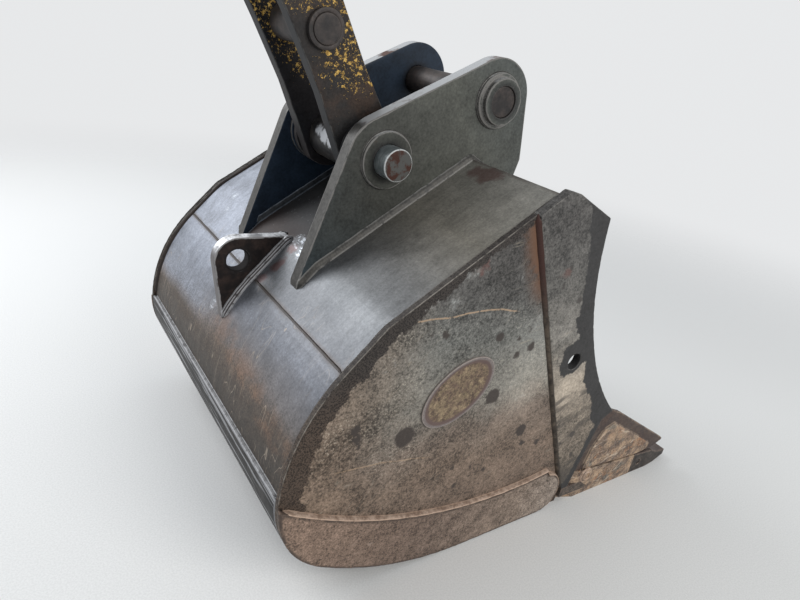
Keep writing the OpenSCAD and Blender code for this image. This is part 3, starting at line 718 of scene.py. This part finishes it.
def wobble(points, size, seed):
    """Smooth random values from about -1 to 1"""
    shift = Vector((seed * 7.1, seed * 3.3, seed * 5.7))
    return np.array([noise.noise(Vector(p) / size + shift) for p in points])


def add_piece(name, mesh, body, slot, material, *replaced):
    obj = new_object(name, mesh)
    mesh.materials.append(material)
    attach(obj, body)
    if replaced:
        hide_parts(*replaced)
    return obj


def smooth(obj):
    """Smooth shading in which large faces stay flat up to their rounded edges"""
    obj.data.polygons.foreach_set("use_smooth", [True] * len(obj.data.polygons))
    modifier = obj.modifiers.new("normals", "WEIGHTED_NORMAL")
    modifier.keep_sharp = False
    modifier.weight = 60


def fine_copy(node, material, bevel=0.002, step=STEP, dent=0.0, nick=0.0, marks=None, sink=None, seed=0):
    """A finely cut copy of a CAD node with worn edges, which takes the node's place"""
    bm = bmesh.new()
    bm.from_mesh(NODES[node].data)
    bmesh.ops.remove_doubles(bm, verts=bm.verts[:], dist=MERGE)
    bmesh.ops.dissolve_limit(bm, angle_limit=FLAT, verts=bm.verts[:], edges=bm.edges[:])
    edges = [e for e in bm.edges if len(e.link_faces) == 2 and e.calc_face_angle(0) > SHARP]
    places = edge_points(edges)
    tree = KDTree(len(places))
    for i, p in enumerate(places):
        tree.insert(p, i)
    tree.balance()
    if bevel:
        bmesh.ops.bevel(bm, geom=edges, offset=bevel, offset_type="OFFSET", segments=2, profile=0.5,
                        affect="EDGES", clamp_overlap=False)
    if step:
        cut_grid(bm, step)
    bmesh.ops.triangulate(bm, faces=[f for f in bm.faces if len(f.verts) > 4])
    bm.normal_update()
    mesh = bpy.data.meshes.new(node + "_worn")
    bm.to_mesh(mesh)
    normals = np.array([v.normal for v in bm.verts])
    bm.free()
    co = points_of(mesh)
    edge = np.array([tree.find(p)[2] for p in co])
    store(mesh, "edge", edge)
    store(mesh, "rim", (np.abs(normals[:, 1]) < FACING).astype(float))
    store(mesh, "up", normals[:, 2])
    for name, values in (marks(co, normals) if marks else {}).items():
        store(mesh, name, values)
    move = np.zeros(len(co))
    if dent:
        move += dent * wobble(co, DENT_SIZE, seed)
    if nick:
        near = np.clip(1 - edge / NICK_REACH, 0, 1)
        move -= nick * near * np.abs(wobble(co, NICK_SIZE, seed + 1))
    if sink:
        move -= sink(co, normals)
    if dent or nick or sink:
        mesh.vertices.foreach_set("co", (co + normals * move[:, None]).astype(np.float32).ravel())
    smooth(add_piece(node + "_worn", mesh, BODY[node], SLOT[node], material, node))


# The side outline, in the side view
BELLY_C = (FLAT_START, BELLY_R)
BELLY_END = math.radians(270) - BELLY_SWEEP
KNEE_SLOPE = SEAM_ANGLE - math.radians(90)


def out_from(p, angle, r):
    return (p[0] + r * math.cos(angle), p[1] + r * math.sin(angle))


HEEL_C = out_from(BELLY_C, BELLY_END, BELLY_R - HEEL_R)
REAR_C = (HEEL_C[0] + REAR_R - HEEL_R, HEEL_C[1])
KNEE = out_from(out_from(REAR_C, SEAM_ANGLE, REAR_R), KNEE_SLOPE, KNEE_LEN)
FOLD = out_from(KNEE, BACK_SLOPE, BACK_LEN)
SEAM_TOP = out_from(FOLD, BACK_SLOPE, -SEAM_BACK)


def corner(p, before, after, depth):
    """A corner of the outline moved in by a depth, between two slopes"""
    half = (before + after) / 2
    r = depth / math.cos((before - after) / 2)
    return (p[0] + r * math.sin(half), p[1] - r * math.cos(half))


def outline(depth, count=40):
    """The wrapper's outline at a depth, from the belly over heel, seam, knee and fold to the mouth"""
    def sweep(centre, r, start, end):
        return [out_from(centre, start + (end - start) * i / count, r - depth) for i in range(count + 1)]
    points = [(SEAM_FOOT[0], depth)]
    points += sweep(BELLY_C, BELLY_R, math.radians(270), BELLY_END)
    points += sweep(HEEL_C, HEEL_R, BELLY_END, math.radians(180))[1:]
    points += sweep(REAR_C, REAR_R, math.radians(180), SEAM_ANGLE)[1:]
    fold = corner(FOLD, BACK_SLOPE, -TOP_SLOPE, depth)
    end = out_from(corner(FOLD, BACK_SLOPE, -TOP_SLOPE, PROUD), -TOP_SLOPE, TOP_LEN)
    return points + [corner(KNEE, KNEE_SLOPE, BACK_SLOPE, depth), fold, end]


def along_back(x_from, x_to, depth=PROUD, spacing=0.006):
    """Points on the back of the wrapper from one x to another, with their outward directions"""
    path = np.array([p for p in outline(depth) if p[1] > HEEL_C[1]])
    xs = np.arange(x_from, x_to, spacing)
    zs = np.interp(xs, path[:, 0], path[:, 1])
    slopes = np.arctan2(np.diff(zs, append=zs[-1] + (zs[-1] - zs[-2])), spacing)
    slopes = np.convolve(np.pad(slopes, 2, "edge"), np.ones(5) / 5, "valid")
    return list(zip(xs, zs)), [(-math.sin(a), 0, math.cos(a)) for a in slopes]


# Marks on the plates, in the side view
BAND_WIDTHS = [(0.384, 0.075), (0.5, 0.068), (0.66, 0.06), (0.84, 0.046), (0.93, 0.036), (1.02, 0.024),
               (1.17, 0.015)]
BAR_BAND = [(0.656, 1.166), (0.707, 1.102), (0.738, 1.009), (0.767, 0.903), (0.785, 0.798), (0.766, 0.793),
            (0.794, 0.76), (0.82, 0.715), (0.767, 0.685), (0.764, 0.611), (0.796, 0.587), (0.84, 0.586),
            (0.888, 0.626), (0.901, 0.597), (0.91, 0.543), (0.974, 0.482), (1.01, 0.423), (1.025, 0.365),
            (1.066, 0.33), (1.05, 0.27), (1.03, 0.2), (1.015, 0.11), (0.985, 0.085), (1.0, 0.0),
            (1.4, 0.0), (1.4, 1.4), (0.7, 1.4)]
SIDE_SPOTS = [(0.219, 0.503, 0.032), (0.519, 0.566, 0.027), (0.063, 0.564, 0.014), (0.287, 0.799, 0.014),
              (0.484, 0.765, 0.013), (0.623, 0.712, 0.014), (0.572, 0.694, 0.012), (0.688, 0.402, 0.022),
              (0.713, 0.345, 0.012), (0.783, 0.329, 0.011), (0.426, 0.334, 0.01), (0.562, 0.287, 0.012),
              (0.239, 0.804, 0.008), (0.07, 0.534, 0.013), (0.08, 0.51, 0.01), (0.819, 0.149, 0.01),
              (0.5, 0.318, 0.008), (0.452, 0.261, 0.009), (0.561, 0.748, 0.009), (0.6, 0.77, 0.008)]
BAR_SPOTS = [(0.673, 0.905, 0.008), (0.684, 0.959, 0.007), (0.949, 0.325, 0.014), (0.984, 0.229, 0.012),
             (0.763, 0.852, 0.012), (0.9, 0.3, 0.01)]
SIDE_TONES = [(0.66, 0.66, 0.13, 0.75), (0.7, 0.76, 0.06, 0.5), (0.25, 0.66, 0.1, 0.3),
              (0.5, 0.95, 0.15, -0.2), (0.62, 0.5, 0.1, 0.2), (0.8, 0.25, 0.1, 0.1),
              (0.05, 0.5, 0.1, -0.15), (0.36, 0.47, 0.1, -0.2)]
BAR_TONES = [(0.74, 0.8, 0.1, 0.35), (0.83, 0.52, 0.11, 1.0), (0.88, 0.4, 0.09, -0.3),
             (0.96, 0.22, 0.1, -0.3), (0.62, 1.0, 0.1, -0.2)]
SCRAPES = {
    "scrape_high": [(0.177, 0.848), (0.225, 0.851), (0.304, 0.848), (0.368, 0.854), (0.42, 0.855),
                    (0.475, 0.849), (0.536, 0.836)],
    "scrape_mid": [(0.015, 0.445), (0.064, 0.442), (0.156, 0.436), (0.256, 0.419), (0.328, 0.404)]}
BACK_STAINS = [(0.576, -0.362, 1.143, 0.03), (0.565, -0.3, 1.14, 0.02), (0.095, -0.072, 0.836, 0.026),
               (0.074, -0.078, 0.812, 0.028), (0.052, -0.07, 0.78, 0.026), (0.03, -0.06, 0.748, 0.018)]
# Places and radii of the painted highlights on the back
BACK_PAINTED_SHINES = [(0.132, -0.05, 0.859, 0.022), (0.135, -0.09, 0.862, 0.03), (0.115, -0.125, 0.848, 0.028),
               (0.1, -0.155, 0.838, 0.02), (-0.055, 0.065, 0.62, 0.02), (-0.068, 0.08, 0.597, 0.014),
               (0.112, 0.455, 0.846, 0.014), (0.074, 0.425, 0.804, 0.012)]
# The painted shade between the ears: where it starts at the middle, how its start slants, and how soft it is
BETWEEN_START, BETWEEN_SLANT, BETWEEN_SOFT = 0.098, 0.3, 0.012
BACK_LOW = 0.7
# Places and radii of the painted highlight on the hub
HUB_PAINTED_GLINTS = [(0.217, 0.005, 1.155, 0.022), (0.22, 0.045, 1.164, 0.016), (0.217, -0.035, 1.143, 0.016)]
# Along and across the link from its pin, with the radius
FLAKE_SPOTS = [(0.445, 0.05, 0.06), (0.4, 0.075, 0.06), (0.47, -0.02, 0.05), (0.52, 0.01, 0.1),
               (0.3, 0.035, 0.04), (0.25, 0.02, 0.05), (0.21, 0.06, 0.04), (0.28, -0.01, 0.03)]
FAR_FLAKES = [(0.42, -0.02, 0.07), (0.33, 0.01, 0.07), (0.24, 0.03, 0.05), (0.5, 0.0, 0.08)]
# How far scrapes and welds run out, the bend's rounding reaches, and grooves round the pins and flakes fade
RUN_OUT, BEND_REACH, HALO, FLAKE_FADE = 0.02, 0.04, 0.02, 0.05


def faces_in(co, normals):
    """One where a face of a left or right node looks towards the middle"""
    return (normals[:, 1] * np.sign(co[:, 1]) < -FACING).astype(float)


def side_marks(co, normals):
    at = side_view(co)
    width = np.interp(at[:, 1], *np.array(BAND_WIDTHS).T)
    marks = {"band": to_path(at, outline(0.0)[:-1])[0] - width, "seam": to_path(at, [SEAM_TOP, SEAM_FOOT])[0],
             "spots": to_spots(at, SIDE_SPOTS), "tone": soft_spots(at, SIDE_TONES)}
    for name, path in SCRAPES.items():
        gap, side, along = to_path(at, path)
        length = sum(math.dist(p, q) for p, q in zip(path, path[1:]))
        marks[name] = gap * side
        marks[name + "_reach"] = np.clip(np.minimum(along, length - along) / RUN_OUT, 0, 1)
    return marks


def bar_marks(co, normals):
    at = side_view(co)
    gap = to_path(at, BAR_BAND)[0]
    band = np.where(inside(at, BAR_BAND), -gap, gap)
    return {"band": band, "spots": to_spots(at, BAR_SPOTS), "tone": soft_spots(at, BAR_TONES)}


def back_marks(co, normals):
    from_seam = co - np.array([SEAM_X, 0, 0])
    outer = (normals[:, 2] > FACING / 2) & (co[:, 2] > BACK_LOW)
    # between: where the painted shade lies, on the upper back between the ears
    start = np.clip((from_seam[:, 0] + BETWEEN_SLANT * co[:, 1] - BETWEEN_START) / BETWEEN_SOFT, 0, 1)
    between = np.clip((EAR_IN - np.abs(co[:, 1])) / (BETWEEN_SOFT / 3), 0, 1) * start * outer
    return {"stain": to_spots(from_seam, BACK_STAINS), "painted_shine": to_spots(from_seam, BACK_PAINTED_SHINES),
            "between": between}


def back_sink(co, normals):
    """The bend over the cross seam is rounded"""
    bend = corner(KNEE, KNEE_SLOPE, BACK_SLOPE, PROUD)
    gap = np.linalg.norm(side_view(co) - np.array(bend), axis=1)
    turn = math.tan((KNEE_SLOPE - BACK_SLOPE) / 2)
    depth = np.clip(BEND_REACH - gap, 0, None) ** 2 * turn / (2 * BEND_REACH)
    return depth * (normals[:, 2] > FACING / 2)


def pin_marks(co, normals):
    half = np.abs(co[:, 1]).max()
    return {"end": (np.abs(co[:, 1]) > half - 0.002).astype(float)}


def hub_marks(co, normals):
    return {"painted_wet_glint": to_spots(co - np.array([SEAM_X, 0, 0]), HUB_PAINTED_GLINTS)}


def ear_marks(co, normals):
    at = side_view(co)
    to_pins = to_spots(at, [(*LINK_PIN, PIN_R), (*STICK_PIN, PIN_R)])
    plate = PIN_R + to_pins.min() < RING_R
    return {"inner": faces_in(co, normals), "groove": np.clip(1 - to_pins / HALO, 0, 1),
            "plate": np.full(len(co), plate)}


def turned(co, centre, angle):
    """Places along and across a direction of the side view, from a centre"""
    at = side_view(co) - np.array(centre)
    along = at[:, 0] * math.cos(angle) + at[:, 1] * math.sin(angle)
    return along, at[:, 1] * math.cos(angle) - at[:, 0] * math.sin(angle)


def oval_part(co):
    """How far out a point lies on the oval, 1 at its edge"""
    along, across = turned(co, OVAL, OVAL_TURN)
    return np.hypot(along / (OVAL_LEN / 2), across / (OVAL_H / 2))


def oval_marks(co, normals):
    return {"rim_part": oval_part(co)}


def eye_marks(co, normals):
    to_hole = np.linalg.norm(side_view(co) - np.array(EYE_HOLE), axis=1)
    return {"bore": (to_hole < EYE_BORE_R + 0.001).astype(float)}


def oval_sink(co, normals):
    """The field lies below the rim, and its surface is uneven"""
    faces_out = np.abs(normals[:, 1]) > FACING
    field = np.clip((0.9 - oval_part(co)) / 0.05, 0, 1)
    return faces_out * field * (0.0022 + 0.0012 * wobble(co, 0.02, 31))


def wing_marks(co, normals):
    raised = np.abs(co[:, 1]) > BAR_FACE - 0.004
    return {"sunk": np.where(raised, 1.0, -1.0)}


def solid_marks(co, normals):
    return {"sunk": np.ones(len(co))}


def link_marks(co, normals):
    """Places along and across the link, with the pin as origin"""
    along, across = turned(co, LINK_PIN, LINK_ANGLE)
    place = np.stack([along, -across], axis=1)
    near = np.clip(1 - to_spots(place, FLAKE_SPOTS) / FLAKE_FADE, 0, 1)
    far = np.clip(1 - to_spots(place, FAR_FLAKES) / FLAKE_FADE, 0, 1)
    facing = normals[:, 1] * np.sign(co[:, 1]) > -FACING / 2
    return {"flakes": np.where(facing, near, far), "rusty": np.clip((0.3 - along) / 0.12, 0, 1),
            "inner": faces_in(co, normals)}


# Welds: places along a bead, its ripples, and how far it sits into its corner
BEAD_STEP, BEAD_PITCH, BEAD_IN = 0.0025, 0.007, 0.001


def resample(path, spacing):
    """Rows at even steps along a path, whose first three columns are places"""
    lengths = np.concatenate([[0], np.cumsum(np.linalg.norm(np.diff(path[:, :3], axis=0), axis=1))])
    at = np.linspace(0, lengths[-1], max(3, round(lengths[-1] / spacing) + 1))
    return np.stack([np.interp(at, lengths, path[:, i]) for i in range(path.shape[1])], axis=1)


def sweep_mesh(name, rings, closed, toes):
    """A closed skin over rings of points, with the mark of the two long edges"""
    count, sides = rings.shape[:2]
    faces = []
    for i in range(count if closed else count - 1):
        for j in range(sides):
            a, b = i * sides + j, i * sides + (j + 1) % sides
            c, d = (b + sides) % (count * sides), (a + sides) % (count * sides)
            faces.append((a, b, c, d))
    if not closed:
        faces += [tuple(range(sides))[::-1], tuple(range((count - 1) * sides, count * sides))]
    mesh = bpy.data.meshes.new(name)
    mesh.from_pydata([tuple(p) for p in rings.reshape(-1, 3)], [], faces)
    mesh.validate()
    bm = bmesh.new()
    bm.from_mesh(mesh)
    bmesh.ops.recalc_face_normals(bm, faces=bm.faces[:])
    bm.to_mesh(mesh)
    bm.free()
    store(mesh, "toe", np.tile(toes, count))
    mesh.polygons.foreach_set("use_smooth", [True] * len(mesh.polygons))
    return mesh


def fillet(name, root, out, up, width, height, material, passes=1, slot="ear_steel", seed=1, closed=False):
    """A weld in a corner: its root runs along a path, and out and up point along its two legs"""
    across = 3 + 6 * passes
    shape = (len(root), 3)
    rows = resample(np.hstack([root, np.broadcast_to(out, shape), np.broadcast_to(up, shape)]), BEAD_STEP)
    if closed:
        rows = rows[:-1]
    rnd = random.Random(seed)
    drift = rnd.uniform(0, 10)
    t = np.linspace(0, 1, across)
    swell = 0.2 * np.sin(math.pi * t) + (0.1 * np.abs(np.sin(passes * math.pi * t)) if passes > 1 else 0)
    rings = []
    for i, row in enumerate(rows):
        at, leg, rise = row[:3], row[3:6], row[6:9]
        grown = 1 + 0.12 * noise.noise(Vector((i * 0.07 + drift, seed, 0)))
        ripple = 0.1 * (0.5 - (i * BEAD_STEP / BEAD_PITCH) % 1)
        if not closed:
            grown *= min(1, 0.2 + min(i, len(rows) - 1 - i) * BEAD_STEP / RUN_OUT)
        w, h = width * grown, height * grown
        bulge = (swell + ripple * np.sin(math.pi * t)) * min(w, h)
        ring = (at + np.outer(w * (1 - t) + bulge * 0.7, leg) + np.outer(h * t + bulge * 0.7, rise))
        heel = at - BEAD_IN * leg - BEAD_IN * rise
        rings.append(np.vstack([ring[:1] - BEAD_IN * rise, ring, ring[-1:] - BEAD_IN * leg, heel[None]]))
    crests = np.abs(np.sin(passes * math.pi * t)) ** 4 if passes > 1 else 0 * t
    toes = np.maximum(np.clip(1.25 - 6 * np.minimum(t, 1 - t), 0, 1), crests)
    mesh = sweep_mesh(name, np.array(rings), closed, [1, *toes, 1, 1])
    add_piece(name, mesh, "bucket", slot, material)


def space(points, y):
    """Side-view points as places on the part"""
    return np.array([(SEAM_X + x, y, z) for x, z in points])


def across_bucket(place, out, up, name, width, height, material, y_from, y_to, slot, seed):
    """A weld that runs across the bucket at one place of the side view"""
    root = np.array([(SEAM_X + place[0], y, place[1]) for y in np.linspace(y_from, y_to, 60)])
    fillet(name, root, (out[0], 0, out[1]), (up[0], 0, up[1]), width, height, material, slot=slot, seed=seed)


def ring_weld(name, centre, radius, y, sign, width, material, slot="ear_steel", seed=1):
    turns = np.linspace(0, 2 * math.pi, 97)
    rays = np.stack([np.cos(turns), 0 * turns, np.sin(turns)], axis=1)
    root = rays * radius + np.array([SEAM_X + centre[0], y, centre[1]])
    fillet(name, root, rays, (0, sign, 0), width, width, material, slot=slot, seed=seed, closed=True)


def wear_edge():
    """The upper edge of a side wear plate, from the rear to its round front end"""
    end_r = WEAR_H / 2
    centre = (WEAR_LOW, WEAR_H + WEAR_R)
    low = math.radians(270) - math.acos((centre[1] - WEAR_REAR) / WEAR_R)
    high = math.radians(270) + math.asin((WEAR_FRONT - end_r - WEAR_LOW) / WEAR_R)
    path = [out_from(centre, low + (high - low) * i / 60, WEAR_R) for i in range(61)]
    end = (WEAR_FRONT - end_r, end_r)
    path += [out_from(end, math.radians(90 - 180 * i / 24), end_r) for i in range(1, 22)]
    return [p for p in path if p[0] > WEAR_START]


def left_of(path):
    """Directions to the left of a side-view path, at each of its points"""
    steps = np.gradient(np.array(path), axis=0)
    steps /= np.linalg.norm(steps, axis=1)[:, None]
    return np.stack([-steps[:, 1], np.zeros(len(path)), steps[:, 0]], axis=1)


def side_welds(sign, side, kinds):
    """The welds of one side; kinds are the weld materials by name"""
    foot, up = along_back(0.062, 0.78)
    fillet("ear_weld_out_" + side, space(foot, sign * EAR_OUT), (0, sign, 0), up, 0.011, 0.019, kinds["ear"],
           seed=21)
    foot, up = along_back(0.105, 0.56)
    fillet("ear_weld_in_" + side, space(foot, sign * EAR_IN), (0, -sign, 0), up, 0.011, 0.017, kinds["shaded"],
           seed=22)
    foot, up = along_back(-0.068, 0.14)
    fillet("eye_weld_" + side, space(foot, sign * EYE_HALF), (0, sign, 0), up, 0.016, 0.017, kinds["eye"],
           passes=3, slot="eye_steel", seed=23)
    for name, pin, seed in (("link_ring_weld_", LINK_PIN, 24), ("stick_ring_weld_", STICK_PIN, 25)):
        ring_weld(name + side, pin, RING_R, sign * EAR_OUT, sign, 0.004, kinds["ear"], seed=seed)
    run = Vector((SEAM_FOOT[0] - SEAM_TOP[0], SEAM_FOOT[1] - SEAM_TOP[1])).normalized()
    fillet("bar_seam_weld_" + side, space([SEAM_TOP, SEAM_FOOT], sign * HALF_W), (run.y, 0, -run.x),
           (0, sign, 0), 0.012, 0.01, kinds["seam"], slot="bar_steel", seed=26)
    edge = wear_edge()
    fillet("wear_weld_" + side, space(edge, sign * HALF_W), left_of(edge), (0, sign, 0), 0.005,
           WEAR_OUT - HALF_W - 0.001, kinds["pale"], slot="wear_steel", seed=27)
    for k, (r, y) in enumerate(((PLUG_R, 0.0), (0.6 * PLUG_R, PLUG_OUT - 0.001))):
        ring_weld(f"plug_ring_{k}_{side}", PLUG, r - 0.002, sign * (BAR_FACE + y), sign, 0.005, kinds["pale"],
                  slot="cast_rust", seed=31)
    rim = [p for p in outline(PROUD) if p[1] > REAR_C[1] + 0.01][:-1]
    fillet("rim_weld_" + side, space(rim, sign * INNER_HALF), (0, -sign, 0), left_of(rim), 0.009, 0.009,
           kinds["rust"], slot="side_steel", seed=28)


def welds():
    looks = {
        "ear": ((0.034, 0.033, 0.031), (0.066, 0.062, 0.056), (0.22, 0.215, 0.205)),
        # Painted shade: the welds on the inner sides of the ears are nearly black
        "shaded": ((0.01, 0.012, 0.015), (0.026, 0.029, 0.034), (0.2, 0.225, 0.26)),
        "grey": ((0.03, 0.029, 0.029), (0.11, 0.11, 0.112), (0.46, 0.46, 0.47)),
        "eye": ((0.03, 0.024, 0.024), (0.06, 0.05, 0.05), (0.4, 0.4, 0.41)),
        "rust": ((0.014, 0.01, 0.008), (0.036, 0.024, 0.018), (0.03, 0.02, 0.016), 0.0),
        "seam": ((0.024, 0.018, 0.014), (0.085, 0.066, 0.048), (0.05, 0.04, 0.032), 0.1,
                 (0.04, 0.015, 0.011)),
        "pale": ((0.22, 0.15, 0.11), (0.44, 0.33, 0.26), (0.5, 0.36, 0.27), 0.2)}
    kinds = {name: weld_metal(name + "_weld", *look) for name, look in looks.items()}
    for sign, side in SIDES:
        side_welds(sign, side, kinds)
    seam_at = out_from(out_from(REAR_C, SEAM_ANGLE, REAR_R - PROUD), KNEE_SLOPE, -0.003)
    seam_up = (math.cos(SEAM_ANGLE), math.sin(SEAM_ANGLE))
    seam_out = (math.cos(KNEE_SLOPE), math.sin(KNEE_SLOPE))
    for sign, side in SIDES:
        across_bucket(seam_at, seam_out, seam_up, "cross_seam_" + side, 0.007, 0.003, kinds["rust"],
                      sign * (EYE_HALF + 0.012), sign * (INNER_HALF - 0.006), "wrapper_steel", 29)
    step_at = out_from(REAR_C, HEEL_WEAR_ANGLE, REAR_R - PROUD)
    across_bucket(step_at, (0, 1), (-1, 0), "heel_step_weld", 0.005, 0.01, kinds["grey"],
                  -INNER_HALF + 0.004, INNER_HALF - 0.004, "wear_steel", 30)


camera()
studio()
pale_floor()
lights()

WRAPPER, SIDE, BAR, WEAR, OVAL_FACE = wrapper_steel(), side_steel(), bar_steel(), wear_steel(), oval_steel()
CAST, TOOTH, EAR, EYE = cast_rust(), dark_cast(), ear_paint(), eye_paint()
PIN, DULL_PIN, LINK, HUB = pin_steel(), dull_pin(), link_paint(), hub_steel()

# Plates
for node, step in (("back_plate", STEP), ("heel_plate", HEEL_STEP), ("top_plate", STEP), ("box_plate", STEP)):
    fine_copy(node, WRAPPER, bevel=0.0012, step=step, dent=0.0008, marks=back_marks, sink=back_sink, seed=3)
fine_copy("heel_wear_plate", heel_steel(), bevel=0.003, step=HEEL_STEP, dent=0.0006, nick=0.002, seed=4)
for side in ("left", "right"):
    fine_copy("side_plate_" + side, SIDE, bevel=0.003, dent=0.0008, nick=0.003, marks=side_marks, seed=5)
    fine_copy("side_bar_" + side, BAR, bevel=0.003, dent=0.0006, nick=0.002, marks=bar_marks, seed=6)
    fine_copy("side_wear_" + side, WEAR, bevel=0.004, nick=0.002, seed=7)
    fine_copy("corner_wing_" + side, CAST, bevel=0.004, nick=0.002, marks=wing_marks, seed=8)
    fine_copy("ear_" + side, EAR, bevel=0.003, dent=0.0004, marks=ear_marks, seed=9)
    fine_copy("link_leg_" + side, LINK, bevel=0.003, dent=0.0004, marks=link_marks, seed=10)
fine_copy("oval_plates", OVAL_FACE, bevel=0.0015, step=STEP / 2, marks=oval_marks, sink=oval_sink, seed=11)
fine_copy("lip", TOOTH, bevel=0.003, step=2 * STEP, seed=12)
fine_copy("adapters", CAST, bevel=0.0025, step=STEP, marks=solid_marks, seed=13)
fine_copy("teeth", TOOTH, bevel=0.004, step=STEP, seed=14)
fine_copy("tooth_pins", DULL_PIN, bevel=0, step=0)
fine_copy("lifting_eye", EYE, bevel=0.004, marks=eye_marks, seed=15)
for node in ("link_pin_rings", "ear_inner_rings", "stick_pin_bosses"):
    fine_copy(node, EAR, bevel=0.003, step=STEP, marks=ear_marks)
for node in ("link_hub_rings", "link_bosses"):
    fine_copy(node, LINK, bevel=0.003, step=STEP, marks=link_marks)
fine_copy("link_hub", HUB, bevel=0.002, step=STEP, marks=hub_marks)
fine_copy("link_pin", PIN, bevel=0.003, step=STEP, marks=pin_marks)
for node in ("stick_pin", "cross_pin", "cross_collars", "cross_tube"):
    fine_copy(node, DULL_PIN, bevel=0.003, step=STEP)

welds()
